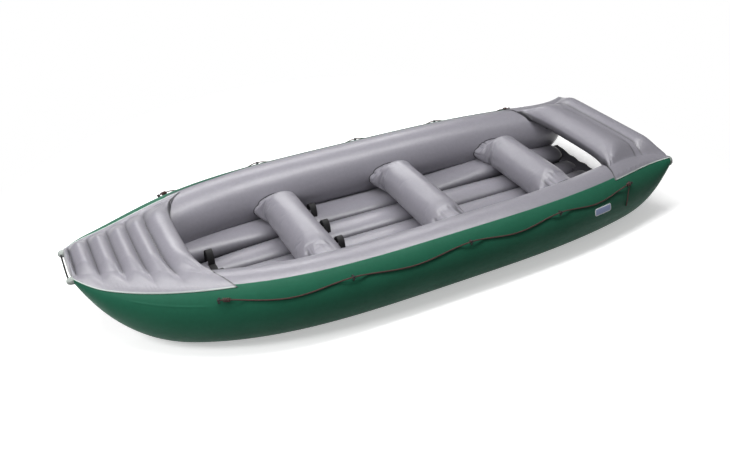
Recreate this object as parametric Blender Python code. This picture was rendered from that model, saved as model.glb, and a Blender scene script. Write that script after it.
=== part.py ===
import bisect
import math

import bmesh
import bpy
from mathutils import Matrix, Vector

# An inflatable whitewater raft for four to six people: two side tubes that sweep up at their ends, a floor
# of four channels, three thwarts, a ribbed bow deck, a two-roll stern deck, grab lines, foot loops, valves.
# Metres. X runs from the bow (-X) to the stern (+X), port is -Y, and Z = 0 is the ground under the hull.

# The hull seen from above
HULL_WIDTH = 1.83
BOW_TIP_X = -2.235
STERN_TIP_X = 2.2
BOW_TAPER_X = 0.21
STERN_TAPER_X = 0.34
BOW_TIP_HALF_WIDTH = 0.235
STERN_TIP_HALF_WIDTH = 0.695
BOW_TURN_LENGTH = 0.155
BOW_TURN_IN = 0.045
BOW_PLAN_POWER = 3.85
STERN_PLAN_POWER = 2.62
TURN_POWER = 2

# The hull seen from the side
TUBE_DIAMETER = 0.451
BOW_TIP_RADIUS = 0.026
STERN_TIP_RADIUS = 0.043
LEVEL_CROWN_HALF_LENGTH = 0.25
BOW_RISE = 0.039
STERN_DROP = 0.008
SHEER_POWER = 1.8
BOW_UPSWEEP_LENGTH = 0.685
STERN_UPSWEEP_LENGTH = 0.63
BOW_UPSWEEP_POWER = 3.0
STERN_UPSWEEP_POWER = 4.2

# Coated fabric, and the gap that keeps touching pieces apart
CLEARANCE = 0.0003
SKIN_THICKNESS = 0.003
DECK_FABRIC = 0.004
SHEET_THICKNESS = 0.003
STATION_BAYS = 20
TUBE_SIDES = 24
FACET = math.tau / TUBE_SIDES
SKIN_TOP_FACETS = 4.5
SKIN_BOTTOM_FACETS = -7.5

# Floor channels
FLOOR_CREST = 0.113
FLOOR_SEAM_HEIGHT = 0.1
FLOOR_EDGE_HEIGHT = 0.055
FLOOR_EDGE_OVERRUN = 0.012
FLOOR_UNDER_BOW_DECK = 0.19
FLOOR_SHORT_OF_STERN = 0.25
FLOOR_END_ROUNDING = 0.05
OUTER_LIFT_START_X = 0.2
OUTER_LIFT_BOW_X = -1.45
OUTER_LIFT_STERN_X = 1.25
OUTER_LIFT_BOW = 0.086
OUTER_LIFT_STERN = 0.062
STERN_FLOOR_THINNING = 0.03
CHANNEL_SIDES = 14
CHANNEL_ROUNDNESS = 2.3

# Thwarts
MIDDLE_THWART_X = 0.32
THWART_SPACING = 1.0
THWART_RADIUS = 0.1435
THWART_PILLOW_LENGTH = 0.15
THWART_PILLOW_HALF_WIDTH = 0.185
THWART_PILLOW_TOP = 0.318
THWART_PILLOW_BOTTOM = 0.14
THWART_INTO_TUBE = 0.09
THWART_SIDES = 16
pillow_shares = (0, 1 / 3, 2 / 3, 1)

# Bow deck
BOW_DECK_LENGTH = 0.715
BOW_DECK_NOSE = 0.015
BOW_LIP = 0.037
BOW_RIBS = 5
BOW_RIB_HEIGHT = 0.038
BOW_LAST_RIB = 0.175
STATION_MERGE = 0.008
BOW_GROOVE_ABOVE_CROWN = 0.004
BOW_DECK_SAG = 0.055
BOW_EDGE_SWEEP = 0.07
BOW_SKIRT_FLARE = 0.09
BOW_SEAT_GAP = 0.0012
BOW_SKIRT_NOSE_ANGLE = math.radians(42.5)
BOW_SKIRT_INNER_ANGLE = math.radians(62)

# Stern deck
STERN_DECK_LENGTH = 0.467
STERN_DECK_OVERHANG = 0.012
STERN_SEAM_WIDTH = 0.05
STERN_SEAM_FROM_END = 0.155
STERN_PANEL_RISE = 0.06
STERN_ROLL_HEIGHT = 0.03
STERN_DECK_SAG = 0.045
STERN_EDGE_SWEEP = 0.085
STERN_SKIRT_FLARE = 0.06
STERN_SEAT_GAP = 0.0006
STERN_SKIRT_ANGLE = math.radians(60)
SKIRT_CONTACT_FACETS = 8.5
EDGE_SWEEP_POWER = 4

# Grab lines, their anchors and knots
LINE_RADIUS = 0.005
LINE_FROM_BOW = 0.745
LINE_FROM_STERN = 0.48
LINE_STEP = 0.085
LINE_ANGLE = math.radians(43)
LINE_SAG_ANGLE = math.radians(9)
LINE_GAP = 0.0008
ANCHOR_RISE = 0.022
ANCHOR_SPREAD = 0.1
ANCHOR_WEB = 0.014
ANCHOR_THICKNESS = 0.0025
ANCHOR_HALF_BASE = 0.0145
ANCHOR_SEAT_GAP = 0.0006
anchor_shares = (0, 0.257, 0.53, 0.77, 1)
KNOT_CORD_RADIUS = 0.0045
KNOT_GAP = 0.0006
TURN_GAP = 0.0007
KNOT_FROM_ANCHOR = 0.019
KNOT_LIFT_LENGTH = 0.07
knot_mark_shares = (0.5, 1)
BOW_KNOT_TURNS = 4
STERN_KNOT_TURNS = 3
KNOT_TURN_POINTS = 12
TAIL_RADIUS = 0.004
TAIL_LEAN = 0.04
TAIL_END_ANGLE = math.radians(5)
TAIL_START_SHORT = 0.004
TAIL_POINTS = 9
tail_settle_share = 0.45

# Tube end caps and the bow handle
CAP_LENGTH = 0.042
cap_length_shares = (0, 0.3, 0.6, 0.85, 1)
cap_radius_shares = (1, 1, 0.92, 0.68, 0.3)
CAP_SIDES = 12
HANDLE_RADIUS = 0.006
HANDLE_PIVOT_BEHIND_TIP = 0.025
HANDLE_SOCKET_DEPTH = 0.012
HANDLE_DROP = 0.055
HANDLE_STRAIGHT = 0.012
HANDLE_BEND = 0.05
HANDLE_POINTS = 15

# Foot loops
LOOP_WEB = 0.05
LOOP_THICKNESS = 0.004
LOOP_HALF_SPAN = 0.05
LOOP_HEIGHT = 0.1
LOW_LOOP_HEIGHT = 0.085
LOOP_SINK = 0.035
LOOP_POINTS = 9
BOW_LOOP_FROM_DECK = 0.2
BOW_LOOP_FROM_SEAM = 0.0095
LOOP_FROM_FRONT_THWART = 0.26

# Label patch
LABEL_FROM_STERN = 0.81
LABEL_LENGTH = 0.17
LABEL_HALF_HEIGHT = 0.028
LABEL_THICKNESS = 0.0015
LABEL_GAP = 0.0005
LABEL_ANGLE = math.radians(18)
label_corner_share = 0.9
label_length_shares = (-1, -0.92, -0.8, 0, 0.8, 0.92, 1)

# Inflation valves
FLANGE_RADIUS = 0.026
FLANGE_THICKNESS = 0.003
BARREL_RADIUS = 0.0135
BARREL_DEPTH = 0.026
COLLAR_RADIUS = 0.0145
COLLAR_HEIGHT = 0.004
BORE_RADIUS = 0.009
BORE_DEPTH = 0.024
PLUNGER_LENGTH = 0.012
PLUNGER_BELOW_RIM = 0.002
VALVE_CAP_RADIUS = 0.0165
VALVE_CAP_THICKNESS = 0.005
VALVE_CAP_DOME = 0.002
CAP_HINGE_OFFSET = 0.0215
CAP_KNUCKLE_RADIUS = 0.0016
CAP_KNUCKLE_HALF_LENGTH = 0.0075
CAP_STRAP_HALF_WIDTH = 0.004
CAP_STRAP_REACH = 0.0075
CAP_STRAP_SHOULDER = 0.0004
HINGE_LUG_RADIUS = 0.0032
HINGE_LUG_THICKNESS = 0.0025
VALVE_SIDES = 12
VALVE_FROM_STERN = 0.333
TUBE_VALVE_FACET = 10
FLOOR_VALVE_AFT_OF_DECK = 0.03
THWART_VALVE_FACET = -1
THWART_VALVE_FROM_PILLOW = 0.046

SIDES = {"port": -1, "starboard": 1}
SHARP_EDGE = math.radians(35)


def clear_scene():
    for obj in list(bpy.data.objects):
        bpy.data.objects.remove(obj, do_unlink=True)


def linear(channel):
    if channel <= 0.04045:
        return channel / 12.92
    return ((channel + 0.055) / 1.055) ** 2.4


def finish(name, colour, roughness, metallic=0.0):
    # Colour as a six-digit sRGB hex value
    material = bpy.data.materials.new(name)
    material.use_nodes = True
    shader = material.node_tree.nodes["Principled BSDF"]
    channels = [linear(int(colour[place : place + 2], 16) / 255) for place in (0, 2, 4)]
    shader.inputs["Base Color"].default_value = (*channels, 1)
    shader.inputs["Roughness"].default_value = roughness
    shader.inputs["Metallic"].default_value = metallic
    material.diffuse_color = (*channels, 1)
    return material


def add_object(name, bm, material):
    mesh = bpy.data.meshes.new(name)
    bmesh.ops.recalc_face_normals(bm, faces=bm.faces)
    bm.to_mesh(mesh)
    bm.free()
    mesh.shade_smooth()
    mesh.set_sharp_from_angle(angle=SHARP_EDGE)
    obj = bpy.data.objects.new(name, mesh)
    bpy.context.scene.collection.objects.link(obj)
    if material:
        mesh.materials.append(material)
    return obj


def loft(name, rings, material, paired=False):
    # A skin through rings of points. In a paired ring the second half runs back along the first.
    bm = bmesh.new()
    loops = [[bm.verts.new(point) for point in ring] for ring in rings]
    count = len(rings[0])
    for near, far in zip(loops, loops[1:]):
        for here in range(count):
            there = (here + 1) % count
            if paired and here >= count // 2:
                bm.faces.new((near[here], near[there], far[here]))
                bm.faces.new((near[there], far[there], far[here]))
            else:
                bm.faces.new((near[here], near[there], far[there]))
                bm.faces.new((near[here], far[there], far[here]))
    for loop in (loops[0], loops[-1]):
        if paired:
            for here in range(count // 2 - 1):
                bm.faces.new((loop[here], loop[here + 1], loop[-2 - here], loop[-1 - here]))
        else:
            bm.faces.new(loop)
    return add_object(name, bm, material)


def tube_along(name, points, radius, material, resolution=2):
    curve = bpy.data.curves.new(name, "CURVE")
    curve.dimensions = "3D"
    curve.bevel_depth = radius
    curve.bevel_resolution = resolution
    curve.use_fill_caps = True
    spline = curve.splines.new("POLY")
    spline.points.add(len(points) - 1)
    for slot, point in zip(spline.points, points):
        slot.co = (*point, 1)
    curve.materials.append(material)
    obj = bpy.data.objects.new(name, curve)
    bpy.context.scene.collection.objects.link(obj)
    return obj


def make_cutter(obj):
    obj.hide_render = True
    obj.display_type = "WIRE"
    return obj


def cut(obj, cutter):
    modifier = obj.modifiers.new(cutter.name, "BOOLEAN")
    modifier.operation = "DIFFERENCE"
    modifier.object = cutter


def join(obj, other):
    modifier = obj.modifiers.new(other.name, "BOOLEAN")
    modifier.operation = "UNION"
    modifier.object = other


def turned(name, frame, profile, sides, material):
    # Rings of (height, radius) about the frame's Z axis
    rings = []
    for height, radius in profile:
        turns = [math.tau * step / sides for step in range(sides)]
        rings.append([frame @ Vector((radius * math.cos(t), radius * math.sin(t), height)) for t in turns])
    return loft(name, rings, material)


def ramp(value, start, end):
    return min(max((value - start) / (end - start), 0), 1)


# Side tubes

def hull_half_width(x):
    bow = ramp(x, BOW_TAPER_X, BOW_TIP_X) ** BOW_PLAN_POWER
    stern = ramp(x, STERN_TAPER_X, STERN_TIP_X) ** STERN_PLAN_POWER
    turn = ramp(x, BOW_TIP_X + BOW_TURN_LENGTH, BOW_TIP_X) ** TURN_POWER
    drawn_in = (HULL_WIDTH / 2 - BOW_TIP_HALF_WIDTH) * bow + BOW_TURN_IN * turn
    drawn_in += (HULL_WIDTH / 2 - STERN_TIP_HALF_WIDTH) * stern
    return HULL_WIDTH / 2 - drawn_in


def crown_height(x):
    bow = ramp(x, -LEVEL_CROWN_HALF_LENGTH, BOW_TIP_X) ** SHEER_POWER
    stern = ramp(x, LEVEL_CROWN_HALF_LENGTH, STERN_TIP_X) ** SHEER_POWER
    return TUBE_DIAMETER + BOW_RISE * bow - STERN_DROP * stern


def keel_height(x):
    bow = ramp(x, BOW_TIP_X + BOW_UPSWEEP_LENGTH, BOW_TIP_X) ** BOW_UPSWEEP_POWER
    stern = ramp(x, STERN_TIP_X - STERN_UPSWEEP_LENGTH, STERN_TIP_X) ** STERN_UPSWEEP_POWER
    crown = crown_height(x)
    return (crown - 2 * BOW_TIP_RADIUS) * bow + (crown - 2 * STERN_TIP_RADIUS) * stern


def section(x):
    # Distance of the tube's centre from the middle of the raft, its height, and the tube's radius
    radius = (crown_height(x) - keel_height(x)) / 2
    return hull_half_width(x) - radius, keel_height(x) + radius, radius


def hull_stations():
    middle = (BOW_TIP_X + STERN_TIP_X) / 2
    half_length = (STERN_TIP_X - BOW_TIP_X) / 2
    turns = [math.pi * bay / STATION_BAYS for bay in range(STATION_BAYS + 1)]
    return [middle - half_length * math.cos(turn) for turn in turns]


STATIONS = hull_stations()


def outline_reach(angle):
    # The section is a polygon whose facets touch the circle, so its corners lie further out
    off_middle = (angle + FACET / 2) % FACET - FACET / 2
    return 1 / math.cos(off_middle)


def section_point(side, x, angle, lift):
    # The angle is measured upwards from straight outboard, and lift is the distance outside the hull's skin
    centre, height, radius = section(x)
    distance = (radius + lift) * outline_reach(angle)
    return Vector((x, side * (centre + distance * math.cos(angle)), height + distance * math.sin(angle)))


def hull_point(side, x, angle, lift):
    # A point on the flat facets between two stations
    bay = min(max(bisect.bisect(STATIONS, x) - 1, 0), STATION_BAYS - 1)
    near, far = STATIONS[bay], STATIONS[bay + 1]
    start = section_point(side, near, angle, lift)
    return start.lerp(section_point(side, far, angle, lift), (x - near) / (far - near))


def hull_frame(side, x, angle, lift, step):
    # X runs aft along the tube, Z points away from it
    middle_angle = round(angle / FACET) * FACET
    origin = hull_point(side, x, angle, lift)
    along = (hull_point(side, x + step, angle, lift) - hull_point(side, x - step, angle, lift)).normalized()
    facet_edge = Vector((0, -side * math.sin(middle_angle), math.cos(middle_angle)))
    outward = side * facet_edge.cross(along).normalized()
    across = outward.cross(along)
    frame = Matrix((along, across, outward)).transposed().to_4x4()
    return Matrix.Translation(origin) @ frame


def side_tube_rings(side, lift):
    angles = [(step + 0.5) * FACET for step in range(TUBE_SIDES)]
    return [[section_point(side, x, angle, lift) for angle in angles] for x in STATIONS]


def hull_skin_rings(side):
    steps = int(SKIN_TOP_FACETS - SKIN_BOTTOM_FACETS) + 1
    angles = [(SKIN_BOTTOM_FACETS + step) * FACET for step in range(steps)]
    rings = []
    for x in STATIONS:
        outer = [section_point(side, x, angle, 0) for angle in angles]
        inner = [section_point(side, x, angle, -SKIN_THICKNESS) for angle in angles]
        rings.append(outer + inner[::-1])
    return rings


def make_side_tubes(grey, green):
    tubes = {}
    for name, side in SIDES.items():
        chamber_lift = -SKIN_THICKNESS - CLEARANCE
        tubes[name] = loft(f"{name}_side_tube", side_tube_rings(side, chamber_lift), grey)
        loft(f"{name}_hull_skin", hull_skin_rings(side), green, paired=True)
    return tubes


def make_tube_cutters():
    # Each side tube grown by the clearance, for what is fitted against it
    cutters = []
    for name, side in SIDES.items():
        cutter = loft(f"{name}_tube_cutter", side_tube_rings(side, -SKIN_THICKNESS), None)
        cutters.append(make_cutter(cutter))
    return cutters


# Floor

FLOOR_BOW_X = BOW_TIP_X + BOW_DECK_LENGTH - FLOOR_UNDER_BOW_DECK
FLOOR_STERN_X = STERN_TIP_X - FLOOR_SHORT_OF_STERN


def inner_wall(x, height):
    # Distance from the middle of the raft to the side tube, at this height above the keel
    centre, _, radius = section(x)
    radius -= SKIN_THICKNESS + CLEARANCE
    return centre - math.sqrt(max(radius**2 - (radius - height) ** 2, 0))


def keel_on_facets(x):
    return hull_point(1, x, -math.pi / 2, 0).z


def channel_bounds(index, x):
    # Inner and outer edge of a floor channel, and the sign of its side
    side = -1 if index < 2 else 1
    seam = inner_wall(x, FLOOR_SEAM_HEIGHT) / 2
    if index in (1, 2):
        return side, CLEARANCE / 2, seam - CLEARANCE / 2
    return side, seam + CLEARANCE / 2, inner_wall(x, FLOOR_EDGE_HEIGHT) + FLOOR_EDGE_OVERRUN


def channel_crest(index, x):
    crest = keel_on_facets(x) + FLOOR_CREST
    crest -= STERN_FLOOR_THINNING * ramp(x, STERN_TIP_X - STERN_UPSWEEP_LENGTH, FLOOR_STERN_X)
    if index in (1, 2):
        return crest
    bow = ramp(x, OUTER_LIFT_START_X, OUTER_LIFT_BOW_X) ** 2
    stern = ramp(x, OUTER_LIFT_START_X, OUTER_LIFT_STERN_X) ** 2
    return crest + OUTER_LIFT_BOW * bow + OUTER_LIFT_STERN * stern


def power_cosine(angle):
    return math.copysign(abs(math.cos(angle)) ** (2 / CHANNEL_ROUNDNESS), math.cos(angle))


def channel_ring(index, x, swell, fullness):
    side, inner, outer = channel_bounds(index, x)
    bottom = keel_on_facets(x) + SHEET_THICKNESS + CLEARANCE
    top = channel_crest(index, x)
    half_width = (outer - inner) / 2 * fullness + swell
    half_height = (top - bottom) / 2 * fullness + swell
    flat_share = power_cosine(math.pi / CHANNEL_SIDES)
    ring = []
    for step in range(CHANNEL_SIDES):
        angle = math.tau * step / CHANNEL_SIDES
        y = (inner + outer) / 2 + half_width * power_cosine(angle)
        rise = half_height * power_cosine(angle - math.pi / 2) / flat_share
        ring.append(Vector((x, side * y, (top + bottom) / 2 + rise)))
    return ring


end_rounding_shares = (0, 0.1, 0.4, 1)
blunt_end_share = 0.8


def floor_stations():
    inside = [x for x in STATIONS if FLOOR_BOW_X + FLOOR_END_ROUNDING < x < FLOOR_STERN_X - FLOOR_END_ROUNDING]
    bow = [(FLOOR_BOW_X + FLOOR_END_ROUNDING * share, share) for share in end_rounding_shares]
    stern = [(FLOOR_STERN_X - FLOOR_END_ROUNDING * share, share) for share in end_rounding_shares]
    stations = bow + [(x, 1) for x in inside] + stern[::-1]
    return [(x, math.sqrt(1 - blunt_end_share * (1 - share) ** 2)) for x, share in stations]


def make_floor(tube_cutters, grey):
    channels = []
    cutters = []
    for index in range(4):
        name = f"floor_tube_{index + 1}"
        rings = [channel_ring(index, x, 0, fullness) for x, fullness in floor_stations()]
        channels.append(loft(name, rings, grey))
        grown = [channel_ring(index, x, CLEARANCE, fullness) for x, fullness in floor_stations()]
        cutters.append(make_cutter(loft(f"{name}_cutter", grown, None)))
    for index, cutter in ((0, tube_cutters[0]), (3, tube_cutters[1])):
        cut(channels[index], cutter)
    return channels, cutters


def make_bottom_sheet(green):
    # Flat under the hull, with its edges tucked under the lowest facets of the hull's skin
    xs = [FLOOR_BOW_X] + [x for x in STATIONS if FLOOR_BOW_X < x < FLOOR_STERN_X] + [FLOOR_STERN_X]
    rings = []
    for x in xs:
        flat_edge = hull_point(1, x, -math.pi / 2 - FACET / 2, 0)
        tuck = (SHEET_THICKNESS + CLEARANCE) / math.tan(FACET) + CLEARANCE
        edge = flat_edge.y - tuck
        low = [Vector((x, side * edge, flat_edge.z)) for side in (-1, 1)]
        high = [point + Vector((0, 0, SHEET_THICKNESS)) for point in low]
        rings.append(low + high[::-1])
    return loft("floor_bottom_sheet", rings, green, paired=True)


# Thwarts

def thwart_places():
    xs = [MIDDLE_THWART_X + step * THWART_SPACING for step in (-1, 0, 1)]
    return dict(zip(("front", "middle", "rear"), xs))


def thwart_axis_height():
    # It rests on the crests of the two middle channels
    return FLOOR_CREST + CLEARANCE + THWART_RADIUS


def pillow_span(x):
    # Where the round part of a thwart ends, and where the side tube's wall stands
    centre, _, radius = section(x)
    return centre - radius - THWART_PILLOW_LENGTH, centre - radius


def thwart_rings(x):
    # Round in the middle, and drawn out to a broad flat pillow where it meets each side tube
    full, wall = pillow_span(x)
    places = [0] + [full + THWART_PILLOW_LENGTH * share for share in pillow_shares] + [wall + THWART_INTO_TUBE]
    places = [-y for y in places[:0:-1]] + places
    facet = math.tau / THWART_SIDES
    reach = 1 / math.cos(facet / 2)
    angles = [(step + 0.5) * facet for step in range(THWART_SIDES)]
    pillow_height = (THWART_PILLOW_TOP + THWART_PILLOW_BOTTOM) / 2
    pillow_half_height = (THWART_PILLOW_TOP - THWART_PILLOW_BOTTOM) / 2
    rings = []
    for y in places:
        share = ramp(abs(y), full, wall)
        drawn = share**2 * (3 - 2 * share)
        wide = THWART_RADIUS + (THWART_PILLOW_HALF_WIDTH - THWART_RADIUS) * drawn
        high = THWART_RADIUS + (pillow_half_height - THWART_RADIUS) * drawn
        height = thwart_axis_height() + (pillow_height - thwart_axis_height()) * drawn
        turns = [(reach * math.cos(angle), reach * math.sin(angle)) for angle in angles]
        rings.append([Vector((x + wide * across, y, height + high * up)) for across, up in turns])
    return rings


def make_thwarts(tube_cutters, floor_cutters, grey):
    thwarts = {}
    for place, x in thwart_places().items():
        thwarts[place] = loft(f"{place}_thwart", thwart_rings(x), grey)
        for cutter in tube_cutters + floor_cutters:
            cut(thwarts[place], cutter)
    return thwarts


# Decks

panel_shares = (0, 0.24, 0.48, 0.68, 0.85)
under_shares = (0, 0.4, 0.75)
lip_shares = (0, BOW_DECK_NOSE / BOW_LIP, 0.7, 1)
rib_shares = (1 / 3, 2 / 3, 1)
last_rib_shares = (0.25, 0.5, 0.75, 0.92, 1)
inner_roll_shares = (0, 0.1, 0.3, 0.5, 0.75, 1)
outer_roll_shares = (0.3, 0.6)
rim_blunt_share = 0.97
roll_crest_share = 0.5
bow_plateau_share = 0.66
stern_plateau_share = 0.7


def deck_ring(x, sweep, flare, rise, sag, fullness, plateau, skirt_angle, seat_gap):
    # The ring runs over the deck from port to starboard and back underneath. The sweep carries the deck's
    # edge along the tubes up to their crowns, and the flare carries the skirts further. The fullness closes
    # the panel between the tubes to a rounded rim.
    crown_angle = math.pi / 2 + FACET / 2
    crown_y = section_point(1, x, crown_angle, 0).y

    def on_tube(angle, lift):
        place = x
        for _ in range(3):
            y = section_point(1, place, angle, lift).y
            place = x + sweep * min(y / crown_y, 1) ** EDGE_SWEEP_POWER
            place += flare * ramp(angle, crown_angle, skirt_angle)
        return hull_point(1, min(max(place, BOW_TIP_X), STERN_TIP_X), angle, lift), place

    top_lift = seat_gap + DECK_FABRIC
    crown, crown_x = on_tube(crown_angle, top_lift)
    middle = crown.z - sag / 2
    half_top = []
    for share in panel_shares:
        window = 1 - ramp(share, plateau, 1) ** 2
        open_rim = 1 - (1 - fullness) * window
        height = crown.z + rise * window
        height = middle + (height - middle) * open_rim
        half_top.append(Vector((x + (crown_x - x) * share**EDGE_SWEEP_POWER, share * crown.y, height)))
    half_under = []
    contact, contact_x = on_tube((SKIRT_CONTACT_FACETS) * FACET, seat_gap)
    for share in under_shares:
        window = 1 - share**2
        height = contact.z + (crown.z - sag - contact.z) * window
        height = middle + (height - middle) * (1 - (1 - fullness) * (1 - ramp(share, plateau, 1) ** 2))
        half_under.append(Vector((x + (contact_x - x) * share**EDGE_SWEEP_POWER, share * contact.y, height)))
    half_under.append(Vector((contact_x, contact.y, contact.z)))
    corner = (SKIRT_CONTACT_FACETS - 5) * FACET
    last_fold = corner if skirt_angle < corner else (skirt_angle + corner + FACET) / 2
    folds = [(SKIRT_CONTACT_FACETS - step) * FACET for step in range(1, 5)] + [last_fold]
    for step, angle in enumerate(folds, 1):
        under, under_x = on_tube(angle, seat_gap)
        half_under.append(Vector((under_x, under.y, under.z)))
        if step >= 2:
            over, over_x = on_tube(angle, top_lift)
            half_top.append(Vector((over_x, over.y, over.z)))
    for half, lift in ((half_top, top_lift), (half_under, seat_gap)):
        edge, edge_x = on_tube(skirt_angle, lift)
        half.append(Vector((edge_x, edge.y, edge.z)))
    ring = []
    for half in (half_top, half_under):
        port = [Vector((p.x, -p.y, p.z)) for p in half[:0:-1]]
        ring.append(port + half)
    return ring[0] + ring[1][::-1]


def rim_fullness(share):
    # Quarter-round rim: 0 at the very edge, 1 where the rim meets the panel
    return math.sqrt(max(1 - rim_blunt_share * (1 - share) ** 2, 0))


def bow_deck_stations():
    # Along the deck: where its rings stand, how far the rib swells there, and how full the rim is
    nose = BOW_TIP_X - BOW_DECK_NOSE
    first_groove = nose + BOW_LIP
    inner_edge = BOW_TIP_X + BOW_DECK_LENGTH
    last_groove = inner_edge - BOW_LAST_RIB
    pitch = (last_groove - first_groove) / (BOW_RIBS - 1)
    xs = [nose + BOW_LIP * share for share in lip_shares]
    for rib in range(BOW_RIBS - 1):
        xs += [first_groove + pitch * (rib + share) for share in rib_shares]
    xs += [last_groove + BOW_LAST_RIB * share for share in last_rib_shares]
    bends = [x for x in STATIONS if BOW_TIP_X < x < last_groove]
    xs = [x for x in xs if all(abs(x - bend) > STATION_MERGE for bend in bends)]
    stations = []
    for x in sorted(xs + bends):
        if x <= first_groove:
            share = (x - nose) / BOW_LIP
            stations.append((x, math.sin(math.pi * share), rim_fullness(share)))
        elif x <= last_groove:
            stations.append((x, abs(math.sin(math.pi * (x - first_groove) / pitch)), 1))
        else:
            share = (x - last_groove) / BOW_LAST_RIB
            swell = math.sin(math.pi * min(share, roll_crest_share))
            stations.append((x, swell, rim_fullness(min(2 - 2 * share, 1))))
    return stations


def make_bow_deck(grey):
    stations = bow_deck_stations()
    afts = [ramp(x, BOW_TIP_X, BOW_TIP_X + BOW_DECK_LENGTH) for x, _, _ in stations]
    skirts = [BOW_SKIRT_NOSE_ANGLE + (BOW_SKIRT_INNER_ANGLE - BOW_SKIRT_NOSE_ANGLE) * aft for aft in afts]
    corner = (SKIRT_CONTACT_FACETS - 5) * FACET
    nearest = min(range(len(skirts)), key=lambda place: abs(skirts[place] - corner))
    skirts[nearest] = corner
    rings = []
    for (x, swell, fullness), aft, skirt in zip(stations, afts, skirts):
        rise = BOW_GROOVE_ABOVE_CROWN + BOW_RIB_HEIGHT * swell
        along = (x, BOW_EDGE_SWEEP * aft**3, BOW_SKIRT_FLARE * aft**3)
        across = (rise, BOW_DECK_SAG, fullness, bow_plateau_share, skirt)
        rings.append(deck_ring(*along, *across, BOW_SEAT_GAP))
    return loft("bow_deck", rings, grey, paired=True)


def make_stern_deck(grey):
    outer_edge = STERN_TIP_X + STERN_DECK_OVERHANG
    inner_edge = outer_edge - STERN_DECK_LENGTH
    seam = outer_edge - STERN_SEAM_FROM_END
    seam_start = seam - STERN_SEAM_WIDTH
    stations = []
    for share in inner_roll_shares:
        swell = 1 if share < roll_crest_share else math.sin(math.pi * share)
        fullness = rim_fullness(min(2 * share, 1))
        stations.append((inner_edge + (seam_start - inner_edge) * share, swell, fullness))
    tip_share = 1 - STERN_DECK_OVERHANG / STERN_SEAM_FROM_END
    for share in (0, *outer_roll_shares, tip_share, 1):
        swell = math.sin(math.pi * share) if share < roll_crest_share else 1
        fullness = rim_fullness(min(2 - 2 * share, 1))
        stations.append((seam + (outer_edge - seam) * share, swell, fullness))
    rings = []
    for x, swell, fullness in stations:
        forward = 1 - ramp(x, inner_edge, STERN_TIP_X)
        rise = STERN_PANEL_RISE + STERN_ROLL_HEIGHT * swell
        along = (x, -STERN_EDGE_SWEEP * forward, -STERN_SKIRT_FLARE * forward)
        across = (rise, STERN_DECK_SAG, fullness, stern_plateau_share, STERN_SKIRT_ANGLE)
        rings.append(deck_ring(*along, *across, STERN_SEAT_GAP))
    return loft("stern_deck", rings, grey, paired=True)


# Grab lines

def anchor_places():
    start = BOW_TIP_X + LINE_FROM_BOW
    end = STERN_TIP_X - LINE_FROM_STERN
    return [start + (end - start) * share for share in anchor_shares]


def line_point(side, x):
    # The line stands off the hull at its anchors, and sags on the tube between them
    anchors = anchor_places()
    bay = min(max(bisect.bisect(anchors, x) - 1, 0), len(anchors) - 2)
    share = min(max((x - anchors[bay]) / (anchors[bay + 1] - anchors[bay]), 0), 1)
    angle = LINE_ANGLE - LINE_SAG_ANGLE * math.sin(math.pi * share) ** 2
    stand_off = 0
    for number, anchor in enumerate(anchors):
        level = KNOT_LIFT_LENGTH if number in (0, len(anchors) - 1) else ANCHOR_WEB
        fade = 1 - ramp(abs(x - anchor), level, level + ANCHOR_SPREAD)
        stand_off = max(stand_off, fade**2 * (3 - 2 * fade))
    contact = LINE_RADIUS + LINE_GAP
    lift = contact + (ANCHOR_RISE - contact) * stand_off
    return hull_point(side, x, angle, lift)


def line_route(side):
    anchors = anchor_places()
    start, end = anchors[0] - ANCHOR_WEB, anchors[-1] + ANCHOR_WEB
    marks = [start, end] + anchors + [x for x in STATIONS if start < x < end]
    for share in knot_mark_shares:
        marks += [anchors[0] + KNOT_LIFT_LENGTH * share, anchors[-1] - KNOT_LIFT_LENGTH * share]
    marks.sort()
    xs = []
    for near, far in zip(marks, marks[1:]):
        pieces = max(round((far - near) / LINE_STEP), 1)
        xs += [near + (far - near) * piece / pieces for piece in range(pieces)]
    return [line_point(side, x) for x in xs + [end]]


def least_gap(points, radius):
    # Between a winding's turns, measured from each point to the points more than half a turn away
    apart = KNOT_TURN_POINTS // 2
    distances = []
    for number, point in enumerate(points):
        distances += [(point - other).length for other in points[number + apart :]]
    return min(distances) - 2 * radius


def knot_route(side, start, turns):
    # A winding round the line, one unbroken turn after another
    pitch = 2 * KNOT_CORD_RADIUS + TURN_GAP
    around = LINE_RADIUS + KNOT_GAP + KNOT_CORD_RADIUS
    points = []
    for step in range(turns * KNOT_TURN_POINTS + 1):
        turn = step / KNOT_TURN_POINTS
        x = start + pitch * turn
        frame = hull_frame(side, x, LINE_ANGLE, 0, pitch)
        across = frame.to_3x3() @ Vector((0, math.cos(math.tau * turn), math.sin(math.tau * turn)))
        points.append(line_point(side, x) + around * across)
    return points


def tail_route(side, x, lean):
    # From under the knot down the side of the tube, where the line's end lies against it
    contact = TAIL_RADIUS + LINE_GAP
    knot_reach = 2 * KNOT_CORD_RADIUS + LINE_RADIUS + KNOT_GAP
    points = []
    for step in range(TAIL_POINTS):
        share = step / (TAIL_POINTS - 1)
        radius = section(x)[2]
        start_angle = LINE_ANGLE - (knot_reach + TAIL_START_SHORT + TAIL_RADIUS) / radius
        angle = start_angle + (TAIL_END_ANGLE - start_angle) * share
        lift = contact + (ANCHOR_RISE - contact) * (1 - ramp(share, 0, tail_settle_share)) ** 2
        points.append(hull_point(side, x + lean * share, angle, lift))
    return points


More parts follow.
